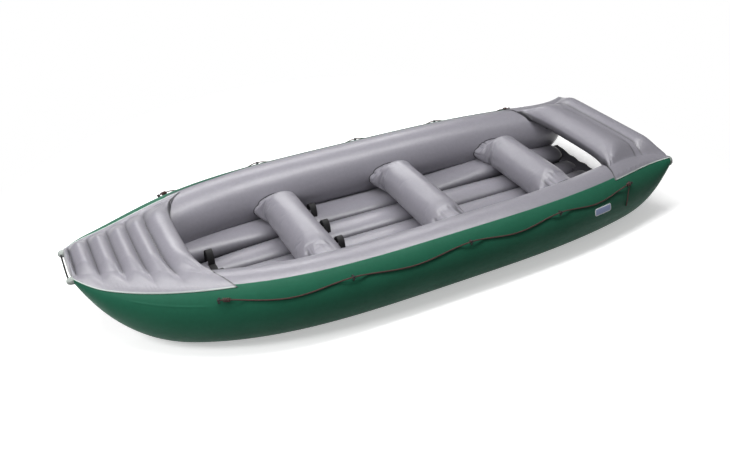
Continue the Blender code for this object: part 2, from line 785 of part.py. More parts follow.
def make_anchor(name, side, x, material):
    inner = LINE_RADIUS + LINE_GAP
    outer = inner + ANCHOR_THICKNESS
    height = ANCHOR_RISE
    foot = ANCHOR_SEAT_GAP
    arch = [math.pi * step / 6 for step in range(7)]
    over = [(ANCHOR_HALF_BASE + ANCHOR_THICKNESS, foot)]
    over += [(outer * math.cos(turn), height + outer * math.sin(turn)) for turn in arch]
    over.append((-ANCHOR_HALF_BASE - ANCHOR_THICKNESS, foot))
    under = [(ANCHOR_HALF_BASE, foot)]
    under += [(inner * math.cos(turn), height + inner * math.sin(turn)) for turn in arch]
    under.append((-ANCHOR_HALF_BASE, foot))
    frame = hull_frame(side, x, LINE_ANGLE, 0, ANCHOR_WEB)
    rings = []
    for along in (-ANCHOR_WEB / 2, ANCHOR_WEB / 2):
        rings.append([frame @ Vector((along, across, up)) for across, up in over + under[::-1]])
    return loft(name, rings, material, paired=True)


def make_knot(name, route, material):
    gap = least_gap(route, KNOT_CORD_RADIUS)
    print(f"{name}: {gap:.4f} m between its turns")
    tube_along(name, route, KNOT_CORD_RADIUS, material, 1)


def make_grab_lines(rope, webbing):
    for name, side in SIDES.items():
        tube_along(f"{name}_grab_line", line_route(side), LINE_RADIUS, rope)
        anchors = anchor_places()
        for number, x in enumerate(anchors):
            make_anchor(f"{name}_line_anchor_{number + 1}", side, x, webbing)
        bow_start = anchors[0] + KNOT_FROM_ANCHOR
        make_knot(f"{name}_bow_line_knot", knot_route(side, bow_start, BOW_KNOT_TURNS), rope)
        length = (2 * KNOT_CORD_RADIUS + TURN_GAP) * STERN_KNOT_TURNS
        stern_start = anchors[-1] - KNOT_FROM_ANCHOR - length
        make_knot(f"{name}_stern_line_knot", knot_route(side, stern_start, STERN_KNOT_TURNS), rope)
        route = tail_route(side, stern_start + length / 2, -TAIL_LEAN)
        tube_along(f"{name}_line_tail", route, TAIL_RADIUS, rope)


# Tube ends and bow handle

tip_radii = {"bow": BOW_TIP_RADIUS, "stern": STERN_TIP_RADIUS}


def tip_frame(side, end):
    # Z points away from the raft along the tube's end
    tip = BOW_TIP_X if end == "bow" else STERN_TIP_X
    way = -1 if end == "bow" else 1
    centre, height, _ = section(tip)
    turn = Matrix.Rotation(way * math.pi / 2, 4, "Y")
    return Matrix.Translation((tip + way * CLEARANCE, side * centre, height)) @ turn


def make_tube_ends(pale):
    ends = {}
    for end in ("bow", "stern"):
        for name, side in SIDES.items():
            lengths = [CAP_LENGTH * share for share in cap_length_shares]
            radii = [tip_radii[end] * share for share in cap_radius_shares]
            node = f"{name}_{end}_end_cap"
            ends[name, end] = turned(node, tip_frame(side, end), zip(lengths, radii), CAP_SIDES, pale)
    return ends


def make_bow_handle(end_caps, webbing):
    pivot_x = BOW_TIP_X - HANDLE_PIVOT_BEHIND_TIP
    centre, height, _ = section(BOW_TIP_X)
    inboard = centre - BOW_TIP_RADIUS
    tip_y = inboard + HANDLE_SOCKET_DEPTH
    pivot = bpy.data.objects.new("bow_handle_pivot", None)
    pivot.location = (pivot_x, 0, height)
    bpy.context.scene.collection.objects.link(pivot)
    for name, side in SIDES.items():
        turn = Matrix.Rotation(-side * math.pi / 2, 4, "X")
        frame = Matrix.Translation((pivot_x, side * (inboard - HANDLE_SOCKET_DEPTH), height)) @ turn
        hole = HANDLE_RADIUS + CLEARANCE
        depth = 2 * HANDLE_SOCKET_DEPTH + CLEARANCE
        cutter = turned(f"{name}_handle_socket", frame, ((0, hole), (depth, hole)), CAP_SIDES, None)
        cut(end_caps[name, "bow"], make_cutter(cutter))
    points = []
    bend_start = inboard - HANDLE_STRAIGHT
    for step in range(HANDLE_POINTS):
        share = 2 * step / (HANDLE_POINTS - 1) - 1
        if abs(share) == 1:
            y = tip_y * share
        else:
            y = bend_start * share * (HANDLE_POINTS - 1) / (HANDLE_POINTS - 3)
        fall = ramp(abs(y), bend_start, bend_start - HANDLE_BEND)
        points.append(Vector((0, y, -HANDLE_DROP * fall**2 * (3 - 2 * fall))))
    handle = tube_along("bow_handle", points, HANDLE_RADIUS, webbing)
    handle.parent = pivot


# Foot loops

def loop_arch(middle, base, height):
    # Points of one arch, in Y and Z, for its outer and its inner face
    faces = []
    for inset in (0, LOOP_THICKNESS):
        half_span = LOOP_HALF_SPAN - inset
        arch = [(half_span, base - LOOP_SINK)]
        for step in range(LOOP_POINTS):
            turn = math.pi * step / (LOOP_POINTS - 1)
            arch.append((half_span * math.cos(turn), base + (height - inset) * math.sin(turn)))
        arch.append((-half_span, base - LOOP_SINK))
        faces.append([(middle + y, z) for y, z in arch])
    return faces


def strip_solid(name, x, width, faces, material):
    rings = []
    for place in (x - width / 2, x + width / 2):
        over, under = faces
        rings.append([Vector((place, y, z)) for y, z in over + under[::-1]])
    return loft(name, rings, material, paired=True)


def loop_middle(index, station):
    # Midway between a channel's inner seam and the next seam or the side tube's wall
    side, inner, outer = channel_bounds(index, station)
    if index in (0, 3):
        outer = inner_wall(station, channel_crest(index, station))
    return side * (inner + outer) / 2


def bow_loop_middle(station):
    # The outer leg stands just inside the seam between the inner and the outer channel
    return channel_bounds(1, station)[2] - LOOP_HALF_SPAN - BOW_LOOP_FROM_SEAM


def make_foot_loops(floor_cutters, webbing):
    station = thwart_places()["front"] + LOOP_FROM_FRONT_THWART
    for index in range(4):
        faces = loop_arch(loop_middle(index, station), channel_crest(index, station), LOW_LOOP_HEIGHT)
        loop = strip_solid(f"foot_loop_{index + 1}", station, LOOP_WEB, faces, webbing)
        cut(loop, floor_cutters[index])
    station = BOW_TIP_X + BOW_DECK_LENGTH + BOW_LOOP_FROM_DECK
    middle = bow_loop_middle(station)
    for index, (name, side) in enumerate(SIDES.items(), 1):
        faces = loop_arch(side * middle, channel_crest(index, station), LOOP_HEIGHT)
        loop = strip_solid(f"{name}_bow_foot_loop", station, LOOP_WEB, faces, webbing)
        for neighbour in (index, index + side):
            cut(loop, floor_cutters[neighbour])
    gap = middle - LOOP_HALF_SPAN - CLEARANCE
    height = channel_crest(1, station - LOOP_WEB / 2) + 2 * CLEARANCE
    ends = ((gap, height + LOOP_THICKNESS), (-gap, height + LOOP_THICKNESS))
    faces = [list(ends), [(y, z - LOOP_THICKNESS) for y, z in ends]]
    strip_solid("bow_foot_strap", station, LOOP_WEB, faces, webbing)


# Label

def make_label(material):
    middle = STERN_TIP_X - LABEL_FROM_STERN
    xs = [middle + LABEL_LENGTH / 2 * share for share in label_length_shares]
    xs += [x for x in STATIONS if xs[0] < x < xs[-1]]
    radius = section(middle)[2]
    crease = (math.floor(LABEL_ANGLE / FACET) + 0.5) * FACET
    rings = []
    for x in sorted(xs):
        into_corner = ramp(abs(x - middle), LABEL_LENGTH / 2 - LABEL_HALF_HEIGHT, LABEL_LENGTH / 2)
        spread = LABEL_HALF_HEIGHT * math.sqrt(1 - label_corner_share * into_corner**2) / radius
        low, high = LABEL_ANGLE - spread, LABEL_ANGLE + spread
        bend = min(max(crease, low), high)
        angles = (low, (low + bend) / 2, bend, (bend + high) / 2, high)
        under = [hull_point(-1, x, angle, LABEL_GAP) for angle in angles]
        over = [hull_point(-1, x, angle, LABEL_GAP + LABEL_THICKNESS) for angle in angles]
        rings.append(over + under[::-1])
    return loft("label_patch", rings, material, paired=True)


# Valves

def strap_ring(y, reach):
    # The knuckle's outline, with its inner half drawn out into the strap that holds the cap
    ring = []
    for step in range(VALVE_SIDES):
        turn = math.tau * (step + 0.5) / VALVE_SIDES
        x, z = CAP_KNUCKLE_RADIUS * math.cos(turn), CAP_KNUCKLE_RADIUS * math.sin(turn)
        if reach and x > 0:
            x, z = reach * (0.5 + abs(math.cos(turn)) / 2), math.copysign(CAP_KNUCKLE_RADIUS, z)
        ring.append(Vector((x, y, z)))
    return ring


def make_cap(place, pivot, black):
    cap_profile = (
        (-CAP_KNUCKLE_RADIUS, VALVE_CAP_RADIUS),
        (VALVE_CAP_THICKNESS - VALVE_CAP_DOME, VALVE_CAP_RADIUS),
        (VALVE_CAP_THICKNESS, VALVE_CAP_RADIUS - VALVE_CAP_DOME),
    )
    shift = Matrix.Translation((CAP_HINGE_OFFSET, 0, 0))
    cap = turned(f"{place}_valve_cap", shift, cap_profile, VALVE_SIDES, black)
    narrow, wide = CAP_STRAP_HALF_WIDTH - CAP_STRAP_SHOULDER, CAP_STRAP_HALF_WIDTH
    steps = ((CAP_KNUCKLE_HALF_LENGTH, 0), (wide, 0), (narrow, CAP_STRAP_REACH))
    rings = [strap_ring(-y, reach) for y, reach in steps]
    rings += [strap_ring(y, reach) for y, reach in steps[::-1]]
    strap = make_cutter(loft(f"{place}_cap_strap", rings, None))
    join(cap, strap)
    for obj in (cap, strap):
        obj.parent = pivot


def make_valve(place, frame, wall, black, plunger_too):
    # The frame's Z leaves the chamber, and the cap's hinge lies towards -X
    seat_top = CLEARANCE + FLANGE_THICKNESS
    rim = seat_top + COLLAR_HEIGHT
    pocket = ((-BARREL_DEPTH - CLEARANCE, BARREL_RADIUS + CLEARANCE), (rim, BARREL_RADIUS + CLEARANCE))
    cut(wall, make_cutter(turned(f"{place}_valve_pocket", frame, pocket, VALVE_SIDES, None)))
    profile = (
        (-BARREL_DEPTH, BARREL_RADIUS),
        (CLEARANCE, BARREL_RADIUS),
        (CLEARANCE, FLANGE_RADIUS),
        (seat_top, FLANGE_RADIUS),
        (seat_top, COLLAR_RADIUS),
        (rim, COLLAR_RADIUS),
        (rim, BORE_RADIUS),
        (rim - BORE_DEPTH, BORE_RADIUS),
    )
    valve = turned(f"{place}_valve", frame, profile, VALVE_SIDES, black)
    rise = rim + CLEARANCE + CAP_KNUCKLE_RADIUS
    hinge = frame @ Matrix.Translation((-CAP_HINGE_OFFSET, 0, rise))
    foot = CLEARANCE + FLANGE_THICKNESS / 2 - rise
    arch = [math.pi * step / 6 for step in range(7)]
    outline = [(HINGE_LUG_RADIUS * math.cos(turn), HINGE_LUG_RADIUS * math.sin(turn)) for turn in arch]
    outline = [(HINGE_LUG_RADIUS, foot)] + outline + [(-HINGE_LUG_RADIUS, foot)]
    near = CAP_STRAP_HALF_WIDTH + CLEARANCE
    for way in (-1, 1):
        ys = (way * near, way * (near + HINGE_LUG_THICKNESS))
        rings = [[hinge @ Vector((x, y, z)) for x, z in outline] for y in ys]
        join(valve, make_cutter(loft(f"{place}_hinge_lug_{way}", rings, None)))
    hole = CAP_KNUCKLE_RADIUS + CLEARANCE
    bar = hinge @ Matrix.Rotation(math.pi / 2, 4, "X") @ Matrix.Rotation(math.tau / VALVE_SIDES / 2, 4, "Z")
    ends = ((-CAP_HINGE_OFFSET, hole), (CAP_HINGE_OFFSET, hole))
    cut(valve, make_cutter(turned(f"{place}_hinge_hole", bar, ends, VALVE_SIDES, None)))
    pivot = bpy.data.objects.new(f"{place}_valve_cap_pivot", None)
    pivot.matrix_world = hinge
    bpy.context.scene.collection.objects.link(pivot)
    make_cap(place, pivot, black)
    if plunger_too:
        top = rim - PLUNGER_BELOW_RIM
        width = BORE_RADIUS - CLEARANCE
        plunger_profile = ((top - PLUNGER_LENGTH, width), (top, width))
        turned(f"{place}_valve_plunger", frame, plunger_profile, VALVE_SIDES, black)


def make_valves(tubes, channels, thwarts, black):
    x = STERN_TIP_X - VALVE_FROM_STERN
    for name, side in SIDES.items():
        chamber_lift = -SKIN_THICKNESS - CLEARANCE
        frame = hull_frame(side, x, TUBE_VALVE_FACET * FACET, chamber_lift, FLANGE_RADIUS)
        way = Matrix.Rotation(side * math.pi / 2, 4, "Z")
        make_valve(f"{name}_tube", frame @ way, tubes[name], black, True)
    x = BOW_TIP_X + BOW_DECK_LENGTH + FLOOR_VALVE_AFT_OF_DECK
    side, inner, outer = channel_bounds(2, x)
    fall = channel_crest(2, x - FLANGE_RADIUS) - channel_crest(2, x + FLANGE_RADIUS)
    frame = Matrix.Translation((x, side * (inner + outer) / 2, channel_crest(2, x)))
    frame = frame @ Matrix.Rotation(math.atan(fall / (2 * FLANGE_RADIUS)), 4, "Y")
    make_valve("floor", frame, channels[2], black, True)
    facet = math.tau / THWART_SIDES
    lean = Matrix.Rotation(math.pi / 2 - THWART_VALVE_FACET * facet, 4, "Y")
    for place, x in thwart_places().items():
        y = pillow_span(x)[0] - THWART_VALVE_FROM_PILLOW
        axis = Matrix.Translation((x, y, thwart_axis_height()))
        frame = axis @ lean @ Matrix.Translation((0, 0, THWART_RADIUS)) @ Matrix.Rotation(math.pi, 4, "Z")
        make_valve(f"{place}_thwart", frame, thwarts[place], black, False)


def build():
    clear_scene()
    grey = finish("grey_coated_fabric", "a5a3a9", 0.5)
    green = finish("green_coated_fabric", "2f6650", 0.5)
    pale = finish("pale_grey_rubber", "b4bab8", 0.55)
    rope = finish("red_brown_rope", "55302c", 0.8)
    webbing = finish("black_webbing", "1b1a1c", 0.75)
    black = finish("black_moulded_plastic", "161618", 0.4)
    label = finish("pale_label_film", "b9c3dd", 0.45)
    tubes = make_side_tubes(grey, green)
    tube_cutters = make_tube_cutters()
    channels, floor_cutters = make_floor(tube_cutters, grey)
    make_bottom_sheet(green)
    thwarts = make_thwarts(tube_cutters, floor_cutters, grey)
    make_bow_deck(grey)
    make_stern_deck(grey)
    make_grab_lines(rope, webbing)
    end_caps = make_tube_ends(pale)
    make_bow_handle(end_caps, webbing)
    make_foot_loops(floor_cutters, webbing)
    make_label(label)
    make_valves(tubes, channels, thwarts, black)


build()
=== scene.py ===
import bisect
import math
import bmesh
import bpy
from mathutils import Matrix, Vector, noise


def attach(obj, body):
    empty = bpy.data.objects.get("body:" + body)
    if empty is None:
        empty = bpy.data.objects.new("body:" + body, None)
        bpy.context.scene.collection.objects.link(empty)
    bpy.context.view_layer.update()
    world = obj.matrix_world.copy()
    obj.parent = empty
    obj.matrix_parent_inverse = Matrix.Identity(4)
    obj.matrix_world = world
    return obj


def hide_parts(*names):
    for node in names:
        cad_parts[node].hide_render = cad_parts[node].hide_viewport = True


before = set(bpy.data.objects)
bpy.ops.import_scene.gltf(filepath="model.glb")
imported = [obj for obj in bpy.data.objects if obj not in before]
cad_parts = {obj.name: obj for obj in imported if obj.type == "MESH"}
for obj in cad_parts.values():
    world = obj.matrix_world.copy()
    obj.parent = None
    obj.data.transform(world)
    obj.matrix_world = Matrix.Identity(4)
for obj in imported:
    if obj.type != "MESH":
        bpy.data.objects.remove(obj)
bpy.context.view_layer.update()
scene = bpy.context.scene
scene.view_settings.view_transform = "Standard"
print("stage 1: the packed raft is loaded")

# Metres, X towards the stern, port is -Y, Z up from the ground.
# Angles round a tube go up from straight outboard.


def ramp(value, start, end):
    return min(max((value - start) / (end - start), 0), 1)


def easeRamp(value, start, end):
    share = ramp(value, start, end)
    return share * share * (3 - 2 * share)


def bellCurve(value, middle, width):
    return math.exp(-((value - middle) / width) ** 2)


def between(near, far, share):
    return near + (far - near) * share


def spread(start, end, count):
    return [between(start, end, step / (count - 1)) for step in range(count)]


def turnsRound(count):
    return [math.tau * step / count for step in range(count)]


def placedAxes(place, first, second, third):
    return Matrix.Translation(place) @ Matrix((first, second, third)).transposed().to_4x4()


# Camera, lamps and floor

cameraView = {
    "place": (-2.3551, -4.3049, 3.2626),
    "lens": 37.626,  # millimetres, on the sensor's width
    "sensor": 36,
    "yaw": 27.1635,  # degrees from +Y towards +X
    "pitch": -33.222,
    "roll": -0.4608,
    "sees": 200,
}


def makeCamera():
    yaw, pitch, roll = (math.radians(cameraView[key]) for key in ("yaw", "pitch", "roll"))
    ahead = Vector((math.sin(yaw) * math.cos(pitch), math.cos(yaw) * math.cos(pitch), math.sin(pitch)))
    right = Vector((math.cos(yaw), -math.sin(yaw), 0))
    up = right.cross(ahead)
    rolledRight = math.cos(roll) * right + math.sin(roll) * up
    rolledUp = math.cos(roll) * up - math.sin(roll) * right
    data = bpy.data.cameras.new("photoCamera")
    data.lens = cameraView["lens"]
    data.sensor_width = cameraView["sensor"]
    data.clip_end = cameraView["sees"]
    camera = bpy.data.objects.new("photoCamera", data)
    camera.matrix_world = placedAxes(cameraView["place"], rolledRight, rolledUp, -ahead)
    scene.collection.objects.link(camera)
    scene.camera = camera


def hexColour(value):
    channels = [int(value[place:place + 2], 16) / 255 for place in (0, 2, 4)]
    # The sRGB curve, turned back into linear light
    return (*[c / 12.92 if c <= 0.04045 else ((c + 0.055) / 1.055) ** 2.4 for c in channels], 1)


def feed(tree, node, inputs):
    # Each input gets a value, a socket, or a node, whose first output is then meant
    for key, source in inputs.items():
        if isinstance(source, bpy.types.Node):
            source = source.outputs[0]
        if isinstance(source, bpy.types.NodeSocket):
            tree.links.new(source, node.inputs[key])
        else:
            node.inputs[key].default_value = source


def addNode(tree, kind, inputs=None, **settings):
    node = tree.nodes.new(kind)
    for key, value in settings.items():
        setattr(node, key, value)
    feed(tree, node, inputs or {})
    return node


def calculate(tree, operation, *parts):
    return addNode(tree, "ShaderNodeMath", dict(enumerate(parts)), operation=operation)


plainWhite = (1, 1, 1, 1)
lampSetup = {
    "zenith": 0.3,  # the studio air is brighter overhead than at the horizon
    "horizon": 0.07,
    "horizonFrom": -0.1,
}
lamps = {  # softboxes: places and sizes in metres, powers in watts
    "keyBox": {"place": (-4.8, -0.9, 3.4), "size": (2.0, 1.2), "power": 135, "aim": (0, 0, 0.3)},
    "overheadStrip": {"place": (-0.3, -0.1, 4.0), "size": (5.8, 1.0), "power": 205, "aim": (-0.3, 0.1, 0.3)},
    "backStrip": {
        "place": (0.5, 3.7, 3.0), "size": (5.0, 0.7), "power": 95, "aim": (0.2, 0, 0.3), "alongX": True},
}


def makeLamps():
    world = bpy.data.worlds.new("studioAir")
    world.use_nodes = True
    scene.world = world
    tree = world.node_tree
    tree.nodes.clear()
    seen = addNode(tree, "ShaderNodeLightPath")
    way = addNode(tree, "ShaderNodeTexCoord")
    parts = addNode(tree, "ShaderNodeSeparateXYZ", {0: way.outputs["Generated"]})
    soft = addNode(tree, "ShaderNodeMapRange", {
        "Value": parts.outputs["Z"], "From Min": lampSetup["horizonFrom"], "From Max": 1.0,
        "To Min": lampSetup["horizon"], "To Max": lampSetup["zenith"]})
    strength = addNode(tree, "ShaderNodeMix", {0: seen.outputs["Is Camera Ray"], 2: soft, 3: 1.0})
    air = addNode(tree, "ShaderNodeBackground", {"Strength": strength, "Color": plainWhite})
    addNode(tree, "ShaderNodeOutputWorld", {"Surface": air})
    for name, values in lamps.items():
        data = bpy.data.lights.new(name, "AREA")
        data.shape = "RECTANGLE"
        data.size, data.size_y = values["size"]
        data.energy = values["power"]
        lamp = bpy.data.objects.new(name, data)
        away = (Vector(values["place"]) - Vector(values["aim"])).normalized()
        across = Vector((0, 1, 0)).cross(away).normalized()
        if values.get("alongX"):
            across = Vector((1, 0, 0))
            away = (away - across * away.dot(across)).normalized()
        lamp.matrix_world = placedAxes(values["place"], across, away.cross(across), away)
        scene.collection.objects.link(lamp)


floorSetup = {
    "halfSide": 60.0, "below": 0.001, "colour": "f4f4f4", "bounce": "6e6e6e",
    "whiteFrom": 2.35, "whiteTo": 3.3,  # metres from the middle where the floor turns plain white to the camera
    "lift": 0.42,
}


def makeStage():
    half, below = floorSetup["halfSide"], -floorSetup["below"]
    mesh = bpy.data.meshes.new("studioFloor")
    corners = [(-half, -half, below), (half, -half, below), (half, half, below), (-half, half, below)]
    mesh.from_pydata(corners, [], [(0, 1, 2, 3)])
    floor = bpy.data.objects.new("studioFloor", mesh)
    scene.collection.objects.link(floor)
    material = bpy.data.materials.new("paleStudioFloor")  # painted board, matt, so it only takes a soft shadow
    material.use_nodes = True
    tree = material.node_tree
    tree.nodes.clear()
    matt = addNode(tree, "ShaderNodeBsdfDiffuse", {"Color": hexColour(floorSetup["colour"])})
    lift = addNode(tree, "ShaderNodeEmission", {"Color": plainWhite, "Strength": floorSetup["lift"]})
    near = addNode(tree, "ShaderNodeAddShader", {0: matt, 1: lift})
    white = addNode(tree, "ShaderNodeEmission", {"Color": plainWhite, "Strength": 1.0})
    place = addNode(tree, "ShaderNodeTexCoord")
    radius = addNode(tree, "ShaderNodeVectorMath", {0: place.outputs["Object"]}, operation="LENGTH")
    far = addNode(tree, "ShaderNodeMapRange", {
        "Value": radius.outputs["Value"], "From Min": floorSetup["whiteFrom"],
        "From Max": floorSetup["whiteTo"]}, interpolation_type="SMOOTHSTEP")
    seen = addNode(tree, "ShaderNodeLightPath").outputs
    shown = calculate(tree, "MAXIMUM", seen["Is Camera Ray"], seen["Is Glossy Ray"])
    through = calculate(tree, "MAXIMUM", shown, seen["Is Transmission Ray"])
    share = calculate(tree, "MULTIPLY", through, far)
    dim = addNode(tree, "ShaderNodeBsdfDiffuse", {"Color": hexColour(floorSetup["bounce"])})
    toCamera = addNode(tree, "ShaderNodeMixShader", {0: shown, 1: dim, 2: near})
    mixed = addNode(tree, "ShaderNodeMixShader", {0: share, 1: toCamera, 2: white})
    addNode(tree, "ShaderNodeOutputMaterial", {"Surface": mixed})
    mesh.materials.append(material)


makeCamera()
makeLamps()
makeStage()
print("stage 2: camera, lamps and floor")


# Materials

def newMaterial(name):
    material = bpy.data.materials.new(name)
    material.use_nodes = True
    tree = material.node_tree
    return material, tree, tree.nodes["Principled BSDF"]


def mixColours(tree, share, first, second):
    return addNode(tree, "ShaderNodeMix", {0: share, 6: first, 7: second}, data_type="RGBA").outputs[2]


def markedShare(tree, title):
    return addNode(tree, "ShaderNodeAttribute", attribute_name=title).outputs["Fac"]


greyFabricLook = {
    "name": "greyUrethaneCoatedCloth",
    # The darkest tone here is painted shade, drawn into grooves, seams, pleats and edges
    "base": "817f87", "cloudy": "78767e", "pale": "c6d2cc", "paintedShade": "2b2a30", "roughness": 0.4,
    "specular": 0.5, "coat": 0.5, "coatRoughness": 0.34, "sheen": 0.05, "refraction": 1.5,
    "cloudScale": 2.6, "dustScale": 38.0, "dustTones": (0.96, 1.04), "glossLess": 0.05, "glossMore": 0.06,
    "slackScale": 9.0, "slackStrength": 0.2, "slackDepth": 0.006,  # folds about 11 cm apart, 6 mm deep
    "threadMm": 3.0, "threadStrength": 0.25, "threadDepth": 0.0006,
}
greenFabricLook = {
    **greyFabricLook, "name": "greenUrethaneCoatedCloth",
    "base": "23604a", "cloudy": "1c5540", "pale": "7fae9b", "paintedShade": "12352a",
    "roughness": 0.5, "specular": 0.12, "coat": 0.0,
}
# Painted shade: a dark, matt tone for the floor's end margins, where shade falls past the channels
marginShadeLook = {
    **greyFabricLook, "name": "weldedMarginPaintedShadeCloth", "base": "48474d", "cloudy": "38373d",
    "roughness": 0.7, "specular": 0.1, "coat": 0.0,
}
waveScale = 3.18  # a wave texture's scale of 1 repeats every 0.314 m
noiseMiddle = {"From Min": 0.3, "From Max": 0.7}  # most values of a noise texture lie in this range


def coatedCloth(look):
    # Polyester cloth with a calendered urethane coat: a satin skin that lets the threads show faintly.
    # Its threads lie 1 mm apart, which is too fine to show, so they are drawn 3 mm apart.
    material, tree, shader = newMaterial(look["name"])
    place = addNode(tree, "ShaderNodeTexCoord").outputs["Object"]
    clouds = addNode(tree, "ShaderNodeTexNoise", {
        "Vector": place, "Scale": look["cloudScale"], "Detail": 3.0, "Roughness": 0.55}).outputs["Fac"]
    tone = mixColours(tree, clouds, hexColour(look["base"]), hexColour(look["cloudy"]))
    worn = mixColours(tree, markedShare(tree, "paleEdge"), tone, hexColour(look["pale"]))
    # Painted shade: where the grooveShade mark is set, the colour darkens towards the dark shade tone
    withPaintedShade = mixColours(tree, markedShare(tree, "grooveShade"), worn, hexColour(look["paintedShade"]))
    dust = addNode(tree, "ShaderNodeTexNoise", {"Vector": place, "Scale": look["dustScale"], "Detail": 4.0})
    darkest, lightest = look["dustTones"]
    scuffed = addNode(tree, "ShaderNodeMapRange", {
        "Value": dust.outputs["Fac"], **noiseMiddle, "To Min": darkest, "To Max": lightest})
    colour = addNode(tree, "ShaderNodeVectorMath", {0: withPaintedShade, "Scale": scuffed}, operation="SCALE")
    gloss = addNode(tree, "ShaderNodeMapRange", {
        "Value": clouds, **noiseMiddle, "To Min": look["roughness"] - look["glossLess"],
        "To Max": look["roughness"] + look["glossMore"]})
    threads = 1000 / look["threadMm"] / waveScale
    warp, weft = (addNode(tree, "ShaderNodeTexWave", {"Vector": place, "Scale": threads}, bands_direction=way)
                  for way in ("X", "Y"))
    weave = calculate(tree, "MULTIPLY", warp.outputs["Fac"], weft.outputs["Fac"])
    slack = addNode(tree, "ShaderNodeTexNoise", {"Vector": place, "Scale": look["slackScale"], "Detail": 2.0})
    fold = addNode(tree, "ShaderNodeBump", {
        "Height": slack.outputs["Fac"], "Strength": look["slackStrength"], "Distance": look["slackDepth"]})
    grain = addNode(tree, "ShaderNodeBump", {
        "Height": weave, "Normal": fold, "Strength": look["threadStrength"], "Distance": look["threadDepth"]})
    feed(tree, shader, {
        "Base Color": colour, "Roughness": gloss, "Normal": grain, "IOR": look["refraction"],
        "Sheen Weight": look["sheen"], "Coat Weight": look["coat"], "Coat Roughness": look["coatRoughness"],
        "Specular IOR Level": look["specular"]})
    return material


def simpleFinish(name, base, shade, roughness, grainScale, grainDepth):
    material, tree, shader = newMaterial(name)
    place = addNode(tree, "ShaderNodeTexCoord").outputs["Object"]
    speckle = addNode(tree, "ShaderNodeTexNoise", {"Vector": place, "Scale": grainScale, "Detail": 4.0})
    grain = speckle.outputs["Fac"]
    tone = mixColours(tree, grain, hexColour(base), hexColour(shade))
    bump = addNode(tree, "ShaderNodeBump", {"Height": grain, "Strength": 0.3, "Distance": grainDepth})
    feed(tree, shader, {"Base Color": tone, "Normal": bump, "Roughness": roughness})
    return material


greyCloth = coatedCloth(greyFabricLook)
greenCloth = coatedCloth(greenFabricLook)
paintedShadeMarginCloth = coatedCloth(marginShadeLook)
# Two tones, roughness, the grain's scale and its depth in metres
twistedRope = simpleFinish("twistedPolyesterRope", "4e332f", "3d2825", 0.8, 420.0, 0.0008)  # matt and fluffy
wovenWebbing = simpleFinish("wovenBlackWebbing", "1d1c1e", "131214", 0.72, 520.0, 0.0006)  # dull ribbed tape
mouldedNylon = simpleFinish("injectionMouldedNylon", "18181a", "121213", 0.38, 900.0, 0.0002)  # fine texture
mouldedRubber = simpleFinish("pressMouldedRubber", "a2a8a4", "949b97", 0.55, 240.0, 0.0004)  # soft satin
# Painted shade: a dark finish for the bead that draws the shade line where each thwart meets its tube
paintedShadeBeadFinish = simpleFinish("darkBeadPaintedShade", "2b2a2f", "212025", 0.6, 300.0, 0.0004)  # dull dark bead
labelFilm = simpleFinish("calenderedVinylFilm", "a9b7e0", "a1afda", 0.42, 300.0, 0.0002)  # faint gloss
labelBorder = simpleFinish("printedFilmBorder", "e9edf2", "e2e7ee", 0.42, 300.0, 0.0002)  # white margin
print("stage 3: materials")


# Making meshes and pieces

def newObject(name, mesh):
    obj = bpy.data.objects.new(name, mesh)
    scene.collection.objects.link(obj)
    return obj


def finishPiece(obj, material, *nodes, body="raft"):
    mesh = obj.data
    mesh.shade_smooth()
    mesh.materials.clear()
    mesh.materials.append(material)
    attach(obj, body)
    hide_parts(*nodes)


def outwards(mesh):
    work = bmesh.new()
    work.from_mesh(mesh)
    bmesh.ops.recalc_face_normals(work, faces=work.faces)
    work.to_mesh(mesh)
    work.free()
    mesh.update()


def makeShell(name, rings, ends="flat", edges=None, grooves=None):
    # A closed skin through closed rings of points. Paired ends join a ring's first half to its second half.
    count, around = len(rings), len(rings[0])
    faces = []
    for row in range(count - 1):
        here, there = row * around, (row + 1) * around
        for place in range(around):
            after = (place + 1) % around
            faces.append((here + place, here + after, there + after, there + place))
    for base in (0, (count - 1) * around):
        if ends == "paired":
            last = base + around - 1
            faces += [(base + place, base + place + 1, last - place - 1, last - place)
                      for place in range(around // 2 - 1)]
        else:
            faces.append(tuple(base + place for place in range(around)))
    mesh = bpy.data.meshes.new(name)
    mesh.from_pydata([tuple(point) for ring in rings for point in ring], [], faces)
    for title, values in (("paleEdge", edges), ("grooveShade", grooves)):
        if values is not None:
            attribute = mesh.attributes.new(title, "FLOAT", "POINT")
            attribute.data.foreach_set("value", [value for ring in values for value in ring])
    outwards(mesh)
    return newObject(name, mesh)


def applied(obj):
    # The evaluated mesh takes the place of the object's own, and no modifier stays
    made = bpy.data.meshes.new_from_object(obj.evaluated_get(bpy.context.evaluated_depsgraph_get()))
    obj.modifiers.clear()
    obj.data = made


def grown(obj, tree, inputs):
    # Runs a node tree on the object, with its inputs set by their sockets' identifiers
    modifier = obj.modifiers.new(tree.name, "NODES")
    modifier.node_group = tree
    for item in tree.interface.items_tree:
        if item.name in inputs:
            modifier[item.identifier] = inputs[item.name]
    applied(obj)


def newTree(name, inputs):
    tree = bpy.data.node_groups.new(name, "GeometryNodeTree")
    tree.interface.new_socket("Geometry", in_out="INPUT", socket_type="NodeSocketGeometry")
    for title, kind in inputs.items():
        tree.interface.new_socket(title, in_out="INPUT", socket_type=f"NodeSocket{kind}")
    tree.interface.new_socket("Geometry", in_out="OUTPUT", socket_type="NodeSocketGeometry")
    given = tree.nodes.new("NodeGroupInput").outputs
    return tree, given, addNode(tree, "GeometryNodeMeshToCurve", {"Mesh": given["Geometry"]})


def endTree(tree, geometry, material):
    realised = addNode(tree, "GeometryNodeRealizeInstances", {0: geometry})
    painted = addNode(tree, "GeometryNodeSetMaterial", {"Geometry": realised, "Material": material})
    addNode(tree, "NodeGroupOutput", {0: painted})
    return tree


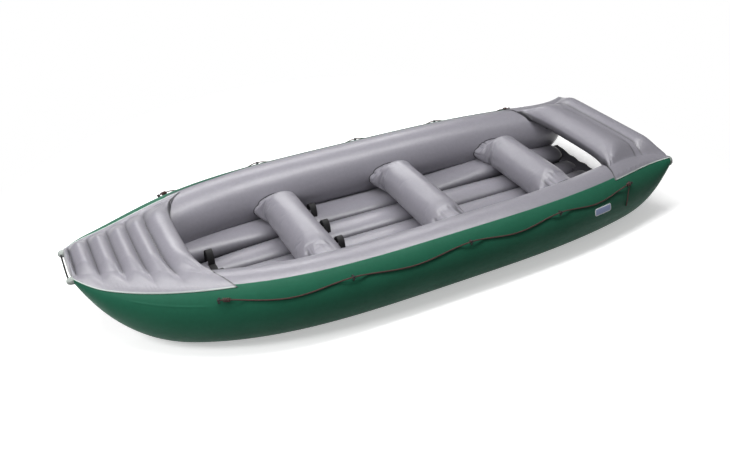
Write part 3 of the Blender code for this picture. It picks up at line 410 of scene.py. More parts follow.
def pathObject(name, points, numbers=None, vectors=None):
    # Edges from point to point, with the numbers and vectors that each point carries
    mesh = bpy.data.meshes.new(name)
    mesh.from_pydata([tuple(p) for p in points], [(step, step + 1) for step in range(len(points) - 1)], [])
    for title, values in (numbers or {}).items():
        mesh.attributes.new(title, "FLOAT", "POINT").data.foreach_set("value", values)
    for title, values in (vectors or {}).items():
        flat = [part for value in values for part in value]
        mesh.attributes.new(title, "FLOAT_VECTOR", "POINT").data.foreach_set("vector", flat)
    return newObject(name, mesh)


def headings(points):
    # The way ahead at each point of a path
    last = len(points) - 1
    return [(points[min(step + 1, last)] - points[max(step - 1, 0)]).normalized() for step in range(last + 1)]


# The hull's shape

hull = {
    "width": 1.83, "bowTip": -2.235, "sternTip": 2.2, "bowTaper": 0.21, "sternTaper": 0.34,
    "bowTipHalfWidth": 0.235, "sternTipHalfWidth": 0.695, "bowTurn": 0.155, "bowTurnIn": 0.045,
    "bowPlanPower": 3.85, "sternPlanPower": 2.62, "diameter": 0.451, "bowTipRadius": 0.026,
    "sternTipRadius": 0.043, "levelHalf": 0.25, "bowRise": 0.039, "sternDrop": 0.008, "sheerPower": 1.8,
    "bowSweep": 0.685, "sternSweep": 0.63, "bowSweepPower": 3.0, "sternSweepPower": 4.2,
    "skin": 0.003, "gap": 0.0003, "sections": 220, "sides": 96, "skinPoints": 129,
    "skinTop": math.radians(67.5), "skinBottom": math.radians(-112.5),
    "lengthAngle": -0.4,  # the skin's length is measured along this angle
}
sides = {"port": -1, "starboard": 1}


def halfWidth(x):
    bow = ramp(x, hull["bowTaper"], hull["bowTip"]) ** hull["bowPlanPower"]
    stern = ramp(x, hull["sternTaper"], hull["sternTip"]) ** hull["sternPlanPower"]
    turn = ramp(x, hull["bowTip"] + hull["bowTurn"], hull["bowTip"]) ** 2
    drawnIn = (hull["width"] / 2 - hull["bowTipHalfWidth"]) * bow + hull["bowTurnIn"] * turn
    return hull["width"] / 2 - drawnIn - (hull["width"] / 2 - hull["sternTipHalfWidth"]) * stern


def crownHeight(x):
    bow = ramp(x, -hull["levelHalf"], hull["bowTip"]) ** hull["sheerPower"]
    stern = ramp(x, hull["levelHalf"], hull["sternTip"]) ** hull["sheerPower"]
    return hull["diameter"] + hull["bowRise"] * bow - hull["sternDrop"] * stern


def keelHeight(x):
    bow = ramp(x, hull["bowTip"] + hull["bowSweep"], hull["bowTip"]) ** hull["bowSweepPower"]
    stern = ramp(x, hull["sternTip"] - hull["sternSweep"], hull["sternTip"]) ** hull["sternSweepPower"]
    crown = crownHeight(x)
    return (crown - 2 * hull["bowTipRadius"]) * bow + (crown - 2 * hull["sternTipRadius"]) * stern


def section(x):
    radius = (crownHeight(x) - keelHeight(x)) / 2
    return halfWidth(x) - radius, keelHeight(x) + radius, radius


def hullPoint(side, x, angle, lift):
    centre, height, radius = section(x)
    reach = radius + lift
    return Vector((x, side * (centre + reach * math.cos(angle)), height + reach * math.sin(angle)))


def alongHull(x):
    return min(max(x, hull["bowTip"]), hull["sternTip"])


def hullFrame(side, x, angle):
    # X runs aft along the tube and Z points away from it
    step = 0.01
    along = (hullPoint(side, x + step, angle, 0) - hullPoint(side, x - step, angle, 0)).normalized()
    edge = Vector((0, -side * math.sin(angle), math.cos(angle)))
    outward = side * edge.cross(along).normalized()
    return placedAxes(hullPoint(side, x, angle, 0), along, outward.cross(along), outward)


def hullXs(count):
    middle, half = (hull["bowTip"] + hull["sternTip"]) / 2, (hull["sternTip"] - hull["bowTip"]) / 2
    return [middle - half * math.cos(math.pi * step / (count - 1)) for step in range(count)]


def makeSweptShellTree(name, material):
    # Sweeps a circle or an arc along X, and gives each section the radius and place that its path point carries
    tree, given, curve = newTree(name, {"Points Around": "Int", "Start Angle": "Float", "Sweep Angle": "Float",
                                        "Closed": "Bool", "Lift": "Float"})
    arc = addNode(tree, "GeometryNodeCurveArc", {
        "Resolution": given["Points Around"], "Start Angle": given["Start Angle"],
        "Sweep Angle": given["Sweep Angle"], "Radius": 1.0})
    profile = addNode(tree, "GeometryNodeSetSplineCyclic", {"Geometry": arc, "Cyclic": given["Closed"]})
    swept = addNode(tree, "GeometryNodeCurveToMesh", {
        "Curve": curve, "Profile Curve": profile, "Fill Caps": given["Closed"]})
    radius = addNode(tree, "GeometryNodeInputNamedAttribute", {"Name": "tubeRadius"}, data_type="FLOAT")
    shift = addNode(tree, "GeometryNodeInputNamedAttribute", {"Name": "centreShift"}, data_type="FLOAT_VECTOR")
    reach = calculate(tree, "ADD", radius, given["Lift"])
    here = addNode(tree, "ShaderNodeSeparateXYZ", {0: addNode(tree, "GeometryNodeInputPosition")}).outputs
    across = calculate(tree, "MULTIPLY", here["Y"], reach)
    up = calculate(tree, "MULTIPLY", here["Z"], reach)
    ring = addNode(tree, "ShaderNodeCombineXYZ", {"X": here["X"], "Y": across, "Z": up})
    moved = addNode(tree, "ShaderNodeVectorMath", {0: ring, 1: shift}, operation="ADD")
    placed = addNode(tree, "GeometryNodeSetPosition", {"Geometry": swept, "Position": moved})
    return endTree(tree, placed, material)


# Cords: the grab lines, their knots and loose ends

line = {
    "radius": 0.005, "fromBow": 0.745, "fromStern": 0.48, "angle": math.radians(43), "sag": math.radians(9),
    "gap": 0.0008, "rise": 0.022, "spread": 0.1, "web": 0.014, "anchorShares": (0, 0.257, 0.53, 0.77, 1),
    "knotLift": 0.07, "knotRadius": 0.0045, "knotGap": 0.0006, "turnGap": 0.0007, "knotFromAnchor": 0.019,
    "bowTurns": 4, "sternTurns": 3, "turnPoints": 36, "step": 0.012, "strandLay": 0.032, "strandStep": 0.003,
    "strands": 3, "strandSides": 7, "strandPress": 1.04,  # the strands are pressed into each other a little
}
tail = {
    "radius": 0.004, "lean": 0.04, "endAngle": math.radians(5), "startShort": 0.004, "points": 24,
    "settle": 0.45,  # the share of its length on which it comes down to the fabric
}


def anchorXs():
    start, end = hull["bowTip"] + line["fromBow"], hull["sternTip"] - line["fromStern"]
    return [between(start, end, share) for share in line["anchorShares"]]


def linePoint(side, x):
    anchors = anchorXs()
    bay = min(max(bisect.bisect(anchors, x) - 1, 0), len(anchors) - 2)
    share = ramp(x, anchors[bay], anchors[bay + 1])
    angle = line["angle"] - line["sag"] * math.sin(math.pi * share) ** 2
    lifted = 0
    for number, anchor in enumerate(anchors):
        level = line["knotLift"] if number in (0, len(anchors) - 1) else line["web"]
        lifted = max(lifted, 1 - easeRamp(abs(x - anchor), level, level + line["spread"]))
    contact = line["radius"] + line["gap"]
    return hullPoint(side, x, angle, between(contact, line["rise"], lifted))


def lineRoute(side):
    anchors = anchorXs()
    start, end = anchors[0] - line["web"], anchors[-1] + line["web"]
    return [linePoint(side, x) for x in spread(start, end, round((end - start) / line["step"]))]


def knotRoute(side, start, turns):
    pitch = 2 * line["knotRadius"] + line["turnGap"]
    around = line["radius"] + line["knotGap"] + line["knotRadius"]
    points = []
    for step in range(turns * line["turnPoints"] + 1):
        turn = step / line["turnPoints"]
        x = start + pitch * turn
        spoke = Vector((0, math.cos(math.tau * turn), math.sin(math.tau * turn)))
        points.append(linePoint(side, x) + around * (hullFrame(side, x, line["angle"]).to_3x3() @ spoke))
    return points


def tailRoute(side, x):
    contact = tail["radius"] + line["gap"]
    reach = 2 * line["knotRadius"] + line["radius"] + line["knotGap"] + tail["startShort"] + tail["radius"]
    startAngle = line["angle"] - reach / section(x)[2]
    points = []
    for share in spread(0, 1, tail["points"]):
        lift = between(contact, line["rise"], (1 - ramp(share, 0, tail["settle"])) ** 2)
        angle = between(startAngle, tail["endAngle"], share)
        points.append(hullPoint(side, x - tail["lean"] * share, angle, lift))
    return points


def makeRopeTree(material):
    # Strands laid round each other along any path
    tree, given, curve = newTree("laidRope", {"Strands": "Int", "Strand Radius": "Float", "Lay Radius": "Float",
                                              "Lay Length": "Float", "Step": "Float", "Strand Sides": "Int"})
    even = addNode(tree, "GeometryNodeResampleCurve", {"Curve": curve, "Length": given["Step"]}, mode="LENGTH")
    copies = addNode(tree, "GeometryNodeDuplicateElements", {
        "Geometry": even, "Amount": given["Strands"]}, domain="SPLINE")
    run = addNode(tree, "GeometryNodeSplineParameter").outputs["Length"]
    turns = calculate(tree, "DIVIDE", run, given["Lay Length"])
    start = calculate(tree, "DIVIDE", copies.outputs["Duplicate Index"], given["Strands"])
    both = calculate(tree, "ADD", turns, start)
    angle = calculate(tree, "MULTIPLY", both, math.tau)
    across = addNode(tree, "GeometryNodeInputNormal")
    ahead = addNode(tree, "GeometryNodeInputTangent")
    up = addNode(tree, "ShaderNodeVectorMath", {0: ahead, 1: across}, operation="CROSS_PRODUCT")
    parts = []
    for trig, way in (("COSINE", across), ("SINE", up)):
        share = calculate(tree, trig, angle)
        parts.append(addNode(tree, "ShaderNodeVectorMath", {0: way, "Scale": share}, operation="SCALE"))
    spoke = addNode(tree, "ShaderNodeVectorMath", {0: parts[0], 1: parts[1]}, operation="ADD")
    offset = addNode(tree, "ShaderNodeVectorMath", {0: spoke, "Scale": given["Lay Radius"]}, operation="SCALE")
    laid = addNode(tree, "GeometryNodeSetPosition", {"Geometry": copies, "Offset": offset})
    ring = addNode(tree, "GeometryNodeCurvePrimitiveCircle", {
        "Resolution": given["Strand Sides"], "Radius": given["Strand Radius"]})
    swept = addNode(tree, "GeometryNodeCurveToMesh", {"Curve": laid, "Profile Curve": ring, "Fill Caps": True})
    return endTree(tree, swept, material)


ropeTree = makeRopeTree(twistedRope)


def makeRope(name, points, radius, node):
    strandRadius = radius / (1 + 2 / math.sqrt(3))  # three strands that touch, inside the rope's radius
    rope = pathObject(name, points)
    grown(rope, ropeTree, {
        "Strands": line["strands"], "Strand Radius": strandRadius * line["strandPress"],
        "Lay Radius": radius - strandRadius, "Lay Length": line["strandLay"] * radius / line["radius"],
        "Step": line["strandStep"], "Strand Sides": line["strandSides"]})
    finishPiece(rope, twistedRope, node)
    return rope


def makeLines():
    anchors = anchorXs()
    knotRadius = line["knotRadius"]
    for name, side in sides.items():
        route = lineRoute(side)
        rope = makeRope(f"{name}GrabLine", route, line["radius"], f"{name}_grab_line")
        bowStart = anchors[0] + line["knotFromAnchor"]
        length = (2 * knotRadius + line["turnGap"]) * line["sternTurns"]
        sternStart = anchors[-1] - line["knotFromAnchor"] - length
        for end, start in (("bow", bowStart), ("stern", sternStart)):
            knot = knotRoute(side, start, line[f"{end}Turns"])
            makeRope(f"{name}{end.capitalize()}Knot", knot, knotRadius, f"{name}_{end}_line_knot")
        route = tailRoute(side, sternStart + length / 2)
        loose = makeRope(f"{name}LineTail", route, tail["radius"], f"{name}_line_tail")


makeLines()
print("stage 4: grab lines, knots and loose ends")


# Where the valves stand in the fabric

valveSeat = {
    "flangeHeight": 0.026,  # from the barrel's foot to the flange's underside
    "footDepth": 0.0005,  # points this near to the lowest one belong to the foot
    "reach": 0.1, "flat": 0.03, "highest": 0.05, "clear": 0.0004,
    "pocketRadius": 0.0142, "pocketDepths": (-0.0285, 0.02), "pocketSides": 24,
}


def valvePlace(node):
    # Where a valve's flange lies, and its axis, which its widest flat faces show
    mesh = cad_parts[node].data
    areas = {}
    for face in mesh.polygons:
        key = tuple(round(part, 2) for part in face.normal)
        total, areaSum = areas.get(key, (Vector(), 0))
        areas[key] = (total + face.normal * face.area, areaSum + face.area)
    axis = -max(areas.values(), key=lambda item: item[1])[0].normalized()
    depths = [vertex.co.dot(axis) for vertex in mesh.vertices]
    footLimit = min(depths) + valveSeat["footDepth"]
    foot = [vertex.co for vertex, depth in zip(mesh.vertices, depths) if depth < footLimit]
    return sum(foot, Vector()) / len(foot) + axis * valveSeat["flangeHeight"], axis


def makeCutter(origin, axis):
    v = valveSeat
    work = bmesh.new()
    across = axis.orthogonal().normalized()
    other = axis.cross(across)
    rings = []
    for depth in v["pocketDepths"]:
        spokes = [math.cos(turn) * across + math.sin(turn) * other for turn in turnsRound(v["pocketSides"])]
        rings.append([work.verts.new(origin + axis * depth + v["pocketRadius"] * spoke) for spoke in spokes])
    for step in range(v["pocketSides"]):
        after = (step + 1) % v["pocketSides"]
        work.faces.new((rings[0][step], rings[0][after], rings[1][after], rings[1][step]))
    work.faces.new(rings[0])
    work.faces.new(rings[1])
    bmesh.ops.recalc_face_normals(work, faces=work.faces)
    mesh = bpy.data.meshes.new("barrelCutter")
    work.to_mesh(mesh)
    work.free()
    return newObject("barrelCutter", mesh)


def seatValve(obj, node):
    # The fabric dips or rises to the flange, and a pocket for the barrel is cut into it
    v = valveSeat
    origin, axis = valvePlace(node)
    for vertex in obj.data.vertices:
        off = vertex.co - origin
        height = off.dot(axis)
        radius = (off - axis * height).length
        if radius < v["reach"] and abs(height) < v["highest"]:
            vertex.co -= axis * (height + v["clear"]) * (1 - easeRamp(radius, v["flat"], v["reach"]))
    obj.data.update()
    cutter = makeCutter(origin, axis)
    modifier = obj.modifiers.new("pocket", "BOOLEAN")
    modifier.operation = "DIFFERENCE"
    modifier.solver = "EXACT"
    modifier.object = cutter
    applied(obj)
    mesh = cutter.data
    bpy.data.objects.remove(cutter, do_unlink=True)
    bpy.data.meshes.remove(mesh)


# Side tubes and their green skin

farRises = (  # how much higher round the tube the far skin's top edge stands, and from and to where that fades
    (math.radians(17), -1.56, -1.44),
    (math.radians(9), -1.1, -0.7),
)
creases = {
    "angle": math.radians(34.5), "fromX": -2.0, "toX": -1.52, "fade": 0.08,
    "height": 0.0025, "halfWidth": 0.005,
}


def shapeSkin(skin, side):
    # Raises the far side's edge and presses the crease of the fabric into the bow
    c = creases
    for vertex in skin.data.vertices:
        x = vertex.co.x
        centre, height, radius = section(x)
        angle = math.atan2(vertex.co.z - height, side * vertex.co.y - centre)
        if side > 0:
            raised = sum(rise * (1 - easeRamp(x, *fade)) for rise, *fade in farRises)
            angle += raised * ramp(angle, 0, hull["skinTop"])
            vertex.co = hullPoint(side, x, angle, 0)
        started = easeRamp(x, c["fromX"], c["fromX"] + c["fade"])
        along = started * (1 - easeRamp(x, c["toX"] - c["fade"], c["toX"]))
        ridge = bellCurve((angle - c["angle"]) * radius, 0, c["halfWidth"]) * along * c["height"]
        vertex.co += Vector((0, side * math.cos(angle), math.sin(angle))) * ridge


def makeHull():
    xs = hullXs(hull["sections"])
    sections = [section(x) for x in xs]
    points = [(x, 0, 0) for x in xs]
    radii = {"tubeRadius": [radius for _, _, radius in sections]}
    tubeTree = makeSweptShellTree("sideTubes", greyCloth)
    skinTree = makeSweptShellTree("hullSkins", greenCloth)
    for name, side in sides.items():
        shifts = {"centreShift": [(0, side * centre, height) for centre, height, _ in sections]}
        tube = pathObject(f"{name}SideTube", points, radii, shifts)
        grown(tube, tubeTree, {
            "Points Around": hull["sides"], "Sweep Angle": math.tau * (1 - 1 / hull["sides"]),
            "Closed": True, "Lift": -hull["skin"] - hull["gap"]})
        outwards(tube.data)
        seatValve(tube, f"{name}_tube_valve")
        finishPiece(tube, greyCloth, f"{name}_side_tube")
        skin = pathObject(f"{name}HullSkin", points, radii, shifts)
        start = -hull["skinTop"] if side < 0 else math.pi + hull["skinBottom"]
        grown(skin, skinTree, {
            "Points Around": hull["skinPoints"], "Start Angle": start,
            "Sweep Angle": hull["skinTop"] - hull["skinBottom"], "Closed": False, "Lift": 0.0})
        thickness = skin.modifiers.new("thickness", "SOLIDIFY")
        thickness.thickness = hull["skin"]
        thickness.offset = -1
        face = skin.data.polygons[len(skin.data.polygons) // 2]
        centre, height, _ = sections[len(sections) // 2]
        if face.normal.dot(Vector((0, side * centre, height)) - face.center) > 0:
            skin.data.flip_normals()
        shapeSkin(skin, side)
        applied(skin)
        finishPiece(skin, greenCloth, f"{name}_hull_skin")


makeHull()
print("stage 5: side tubes and hull skins")


# Floor: four inflated channels on a bottom sheet

floorShape = {
    "bowX": -1.71, "sternX": 1.95, "crest": 0.113, "seamHeight": 0.1, "edgeHeight": 0.055, "overrun": 0.012,
    "liftStart": 0.2, "liftBowX": -1.45, "liftSternX": 1.25, "liftBow": 0.086, "liftStern": 0.062,
    "sternThinning": 0.03, "sheet": 0.003, "endRounding": 0.1, "endWidth": 0.35, "roundness": 2.02,
    "sections": 150, "around": 56, "gap": 0.0003, "puckerMm": 2.2, "puckerPitch": 0.045,
    "puckerPower": 6, "puckerWhere": (-0.2, 0.3),  # puckers lie near the seams, from just below the middle up
    "phase": 5, "drift": 3, "driftScale": 4,  # how the puckers differ from channel to channel and along them
    "seamShade": 0.8, "shadePower": 5, "endShade": 0.85, "endShadeFrom": 0.3, "endShadeTo": 0.02,
    "sheetAngle": math.pi / 24,  # the sheet ends where the tube's wall leans in this much
    "sheetInset": 0.012, "sheetSections": 90, "sheetPoints": 12, "sheetLift": 0.0002,
}
endClosing = 0.995  # just short of 1, so an end's last ring is very small but never a single point


def rimFullness(share):
    # How full a rounded end is, from its tip at 0 to its widest ring at 1
    return math.sqrt(max(1 - endClosing * (1 - share) ** 2, 0))


def innerWall(x, height):
    centre, _, radius = section(x)
    radius -= hull["skin"] + hull["gap"]
    return centre - math.sqrt(max(radius ** 2 - (radius - height) ** 2, 0))


def channelBounds(index, x):
    f = floorShape
    side = -1 if index < 2 else 1
    seam = innerWall(x, f["seamHeight"]) / 2
    if index in (1, 2):
        return side, f["gap"], seam - f["gap"]
    return side, seam + f["gap"], innerWall(x, f["edgeHeight"]) + f["overrun"]


def channelCrest(index, x):
    f = floorShape
    thinner = f["sternThinning"] * ramp(x, hull["sternTip"] - hull["sternSweep"], f["sternX"])
    crest = keelHeight(x) + f["crest"] - thinner
    if index in (0, 3):
        crest += f["liftBow"] * ramp(x, f["liftStart"], f["liftBowX"]) ** 2
        crest += f["liftStern"] * ramp(x, f["liftStart"], f["liftSternX"]) ** 2
    return crest


def powerCosine(angle):
    return math.copysign(abs(math.cos(angle)) ** (2 / floorShape["roundness"]), math.cos(angle))


def channelRing(index, x):
    f = floorShape
    fullness = rimFullness(min(min(x - f["bowX"], f["sternX"] - x) / f["endRounding"], 1))
    atEnd = easeRamp(x, f["sternX"] - f["endShadeFrom"], f["sternX"] - f["endShadeTo"]) * f["endShade"]
    side, inner, outer = channelBounds(index, x)
    bottom, top = keelHeight(x) + f["sheet"] + f["gap"], channelCrest(index, x)
    halfWide = (outer - inner) / 2 * (f["endWidth"] + (1 - f["endWidth"]) * fullness)
    halfHigh = (top - bottom) / 2 * fullness
    phase = math.tau * x / f["puckerPitch"] + f["phase"] * index
    pucker = math.sin(phase + f["drift"] * noise.noise((x * f["driftScale"], index, 0)))
    ring, shades = [], []
    for angle in turnsRound(f["around"]):
        y, rise = halfWide * powerCosine(angle), halfHigh * powerCosine(angle - math.pi / 2)
        seamNear = abs(math.cos(angle)) ** f["puckerPower"] * ramp(math.sin(angle), *f["puckerWhere"])
        rise += f["puckerMm"] / 1000 * seamNear * pucker
        ring.append((x, side * ((inner + outer) / 2 + y), (top + bottom) / 2 + rise))
        shades.append(max(abs(math.cos(angle)) ** f["shadePower"] * f["seamShade"], atEnd))
    return ring, shades


def bothFaces(points, firstLift, lastLift):
    # A row of points lifted one way, and then the same row back with the other lift
    return [(x, y, z + firstLift) for x, y, z in points] + [(x, y, z + lastLift) for x, y, z in points[::-1]]


def makeFloor():
    f = floorShape
    for index in range(4):
        rings, shades = zip(*[channelRing(index, x) for x in spread(f["bowX"], f["sternX"], f["sections"])])
        channel = makeShell(f"floorChannel{index + 1}", rings, grooves=shades)
        if index == 2:
            seatValve(channel, "floor_valve")
        finishPiece(channel, greyCloth, f"floor_tube_{index + 1}")
    rings, halfWidths = [], []
    xs = spread(f["bowX"], f["sternX"], f["sheetSections"])
    for x in xs:
        centre, _, radius = section(x)
        edge = centre - radius * math.sin(f["sheetAngle"]) - f["sheetInset"]
        halfWidths.append(edge)
        low = [(x, y, keelHeight(x) + f["sheetLift"]) for y in spread(-edge, edge, f["sheetPoints"])]
        rings.append(bothFaces(low, 0, f["sheet"]))
    bottom = makeShell("floorBottomSheet", rings, "paired")
    finishPiece(bottom, greenCloth, "floor_bottom_sheet")


floorEnd = {
    "height": 0.045, "outerRise": 0.022, "inset": 0.03, "reach": 0.08, "thickness": 0.006,
    "waveMm": 1.5, "waveRate": 18, "drift": 2, "driftScale": 14, "edgeWave": 0.03,
    "hidden": 0.9,  # the share of the reach that runs back under the channels
    "points": 90, "parts": 10,
}


def makeFloorEnds():
    # A flat welded margin past each end of the channels, slightly puckered, in a dark matt cloth that paints
    # the shade there
    e = floorEnd
    for name, x, way in (("bow", floorShape["bowX"], -1), ("stern", floorShape["sternX"], 1)):
        halfSpan = channelBounds(3, x)[2] - e["inset"]
        seam = innerWall(x, floorShape["seamHeight"]) / 2
        rings = []
        for y in spread(-halfSpan, halfSpan, e["points"]):
            drift = e["drift"] * noise.noise((y * e["driftScale"], way, 0))
            wave = math.sin(e["waveRate"] * y / halfSpan) + drift
            height = keelHeight(x) + e["height"] + e["outerRise"] * ramp(abs(y), seam, halfSpan)
            ring = []
            for part in spread(-e["hidden"], 1, e["parts"]):
                reach = e["reach"] * (part + e["edgeWave"] * wave * part)
                ring.append((x + way * reach, y, height + e["waveMm"] / 1000 * wave * max(part, 0)))
            rings.append(bothFaces(ring, e["thickness"] / 2, -e["thickness"] / 2))
        margin = makeShell(f"{name}FloorMargin", rings, "paired")
        finishPiece(margin, paintedShadeMarginCloth)


makeFloor()
makeFloorEnds()
print("stage 6: floor channels and bottom sheet")


# Thwarts

thwart = {
    "middleX": 0.32, "spacing": 1.0, "radius": 0.1435, "pillowLength": 0.15, "pillowHalfWidth": 0.185,
    "pillowTop": 0.318, "pillowBottom": 0.14, "portDraw": 0.3, "intoTube": 0.09, "sections": 170, "around": 88,
    "endCrowding": 0.4,  # how much closer the rings stand near the ends
    "pleats": 20, "pleatMm": 8.0, "pleatReach": 0.11, "pleatFull": 0.01, "pleatPower": 3,
    "pleatMean": 0.7, "pleatVaries": 0.9, "pleatShade": 0.9, "shadePower": 7, "shadeWhere": (-0.25, 0.2),
    "drift": 4, "driftScale": 2.5, "sidesApart": 7, "thwartsApart": 5,  # no two ends have the same pleats
    "pinchMm": 12.0, "pinchReach": 0.06, "pinchFull": 0.02, "pinchAt": 0.86, "pinchWidth": 0.1,
    "pinchWhere": (0.1, 0.5),
    "beadRadius": 0.0055, "beadPoints": 64, "beadFrom": 0.3, "beadTries": 24, "beadStep": 0.005, "beadSides": 8,
}


def thwartRing(x, y):
    t = thwart
    axis = floorShape["crest"] + floorShape["gap"] + t["radius"]
    centre, _, tubeRadius = section(x)
    wall = centre - tubeRadius
    drawn = easeRamp(abs(y), wall - t["pillowLength"], wall) * (t["portDraw"] if y < 0 else 1)
    wide = between(t["radius"], t["pillowHalfWidth"], drawn)
    high = between(t["radius"], (t["pillowTop"] - t["pillowBottom"]) / 2, drawn)
    height = between(axis, (t["pillowTop"] + t["pillowBottom"]) / 2, drawn)
    nearWall = easeRamp(abs(y), wall - t["pleatReach"], wall - t["pleatFull"])
    atWall = easeRamp(abs(y), wall - t["pinchReach"], wall - t["pinchFull"])
    way = math.copysign(1, y)
    ring, shades = [], []
    for angle in turnsRound(t["around"]):
        across, up = math.cos(angle), math.sin(angle)
        place = (across * t["driftScale"] + t["sidesApart"] * way, up * t["driftScale"], x * t["thwartsApart"])
        uneven = noise.noise(place)
        sharp = 1 - abs(math.sin(t["pleats"] / 2 * angle + t["drift"] * uneven))
        depth = t["pleatMean"] + t["pleatVaries"] * uneven
        pleat = -sharp ** t["pleatPower"] * nearWall * t["pleatMm"] / 1000 * depth
        corner = bellCurve(abs(across), t["pinchAt"], t["pinchWidth"]) * ramp(up, *t["pinchWhere"])
        pinch = corner * t["pinchMm"] / 1000 * atWall
        shape = 1 + (pleat - pinch) / t["radius"]
        ring.append((x + wide * across * shape, y, height + high * up * shape))
        shade = sharp ** t["shadePower"] * nearWall * t["pleatShade"] * ramp(uneven, *t["shadeWhere"])
        shades.append(min(shade, 1))
    return ring, shades


def makeSeamTree(material):
    tree, given, curve = newTree("seamBead", {"Radius": "Float"})
    even = addNode(tree, "GeometryNodeResampleCurve", {
        "Curve": curve, "Length": thwart["beadStep"]}, mode="LENGTH")
    ring = addNode(tree, "GeometryNodeCurvePrimitiveCircle", {
        "Radius": given["Radius"], "Resolution": thwart["beadSides"]})
    swept = addNode(tree, "GeometryNodeCurveToMesh", {"Curve": even, "Profile Curve": ring, "Fill Caps": True})
    return endTree(tree, swept, material)


seamTree = makeSeamTree(paintedShadeBeadFinish)


def makeSeamBead(name, x, side):
    # A dark bead where the thwart's end meets the side tube, painting the shade line along that joint
    points = []
    for number in range(thwart["beadPoints"]):
        near, far = thwart["beadFrom"], section(x)[0]
        for _ in range(thwart["beadTries"]):
            y = (near + far) / 2
            ring, _ = thwartRing(x, side * y)
            place = number / thwart["beadPoints"] * len(ring)
            before, after = (Vector(ring[(int(place) + step) % len(ring)]) for step in (0, 1))
            point = before.lerp(after, place % 1)
            centre, height, radius = section(point.x)
            inside = math.hypot(abs(point.y) - centre, point.z - height) < radius - hull["skin"] - hull["gap"]
            near, far = (near, y) if inside else (y, far)
        points.append(point)
    lowest = min(range(len(points)), key=lambda place: points[place].z)
    bead = pathObject(name, points[lowest:] + points[:lowest + 1])
    grown(bead, seamTree, {"Radius": thwart["beadRadius"]})
    finishPiece(bead, paintedShadeBeadFinish)


air = {
    "pressure": 4.0, "frames": 20, "quality": 6, "mass": 0.3, "stiffness": 25, "bend": 0.4,
    "surplus": 0.025,  # the share of spare fabric that the skin has
    "heldFrom": 0.035, "heldFull": 0.005, "capMm": 16,
}


def inflate(obj, weights):
    # Air pressure in a cloth skin that has some spare fabric: it draws its own folds where the ends are held
    group = obj.vertex_groups.new(name="held")
    for index, weight in enumerate(weights):
        group.add([index], weight, "REPLACE")
    start = [vertex.co.copy() for vertex in obj.data.vertices]
    modifier = obj.modifiers.new("air", "CLOTH")
    cloth = modifier.settings
    cloth.quality = air["quality"]
    cloth.mass = air["mass"]
    cloth.use_pressure = True
    cloth.uniform_pressure_force = air["pressure"]
    cloth.effector_weights.gravity = 0
    cloth.vertex_group_mass = "held"
    cloth.tension_stiffness = cloth.compression_stiffness = air["stiffness"]
    cloth.shear_stiffness = air["stiffness"] / 2
    cloth.bending_stiffness = air["bend"]
    cloth.shrink_min = -air["surplus"]
    modifier.point_cache.frame_start = 1
    modifier.point_cache.frame_end = air["frames"]
    for number in range(1, air["frames"] + 1):
        scene.frame_set(number)
    applied(obj)
    scene.frame_set(1)
    most = air["capMm"] / 1000
    for vertex, before in zip(obj.data.vertices, start):
        step = vertex.co - before
        if step.length > most:
            vertex.co = before + step * (most / step.length)
    obj.vertex_groups.clear()


def makeThwarts():
    t = thwart
    for place, step in (("front", -1), ("middle", 0), ("rear", 1)):
        x = t["middleX"] + step * t["spacing"]
        centre, _, tubeRadius = section(x)
        wall = centre - tubeRadius
        reach = wall + t["intoTube"]
        ys = [reach * math.sin(share * math.pi / 2) * t["endCrowding"] + reach * share * (1 - t["endCrowding"])
              for share in spread(-1, 1, t["sections"])]
        rings, shades = zip(*[thwartRing(x, y) for y in ys])
        obj = makeShell(f"{place}Thwart", rings, grooves=shades)
        inflate(obj, [easeRamp(abs(vertex.co.y), wall - air["heldFrom"], wall - air["heldFull"])
                      for vertex in obj.data.vertices])
        seatValve(obj, f"{place}_thwart_valve")
        for name, side in sides.items():
            makeSeamBead(f"{place}{name.capitalize()}SeamBead", x, side)
        finishPiece(obj, greyCloth, f"{place}_thwart")


makeThwarts()
print("stage 7: thwarts")


# Decks

bowDeck = {
    "length": 0.715, "nose": 0.015, "lip": 0.037,
    "ribs": 5, "ribHeight": 0.056, "ribPower": 0.8, "lastRib": 0.175, "rimLevel": 0.5,
    "aboveCrown": 0.002, "sag": 0.055, "edgeSweep": 0.07, "skirtFlare": 0.09,
    "seat": 0.0012, "fabric": 0.003, "plateau": 0.5, "fadeFrom": 0.55, "fadeTo": 0.75, "sections": 180,
    "noseAngle": math.radians(42.5), "innerAngle": math.radians(62),
    "farSkirtUp": (math.radians(40), math.radians(24)),  # the far skirt ends higher: at the nose, and aft
    "puckerMm": 0.9, "puckerPitch": 0.031, "paleWidth": 0.009, "grooveShade": 0.75,
    "shadeBefore": 0.01, "shadeAfter": 0.05,  # how far the shade goes beyond the first and last grooves
    "edgeShade": (0.012, 0.002),
    "cornerMm": 5, "cornerX": -1.56, "cornerShare": 1.0, "cornerReach": (0.1, 0.35), "cornerFolds": 9,
}
sternDeck = {
    "length": 0.467, "overhang": 0.012, "seamWidth": 0.05, "seamFromEnd": 0.155, "panelRise": 0.056,
    "rollHeight": 0.037, "rollPower": 0.6, "rimLevel": 1.0,
    "sag": 0.045, "edgeSweep": 0.085, "skirtFlare": 0.06,
    "seat": 0.0006, "fabric": 0.003, "plateau": 0.7, "fadeFrom": 0.66, "fadeTo": 0.6, "sections": 96,
    "skirtAngle": math.radians(60),
    "puckerMm": 2.2, "puckerPitch": 0.033, "paleWidth": 0.009, "seamShade": 0.7, "seamShadeWidth": 0.006,
    "edgeShade": (0.002, 0.01),
    "cornerMm": 9, "cornerX": 1.77, "cornerShare": 0.86, "cornerReach": (0.09, 0.22), "cornerFolds": 9,
}
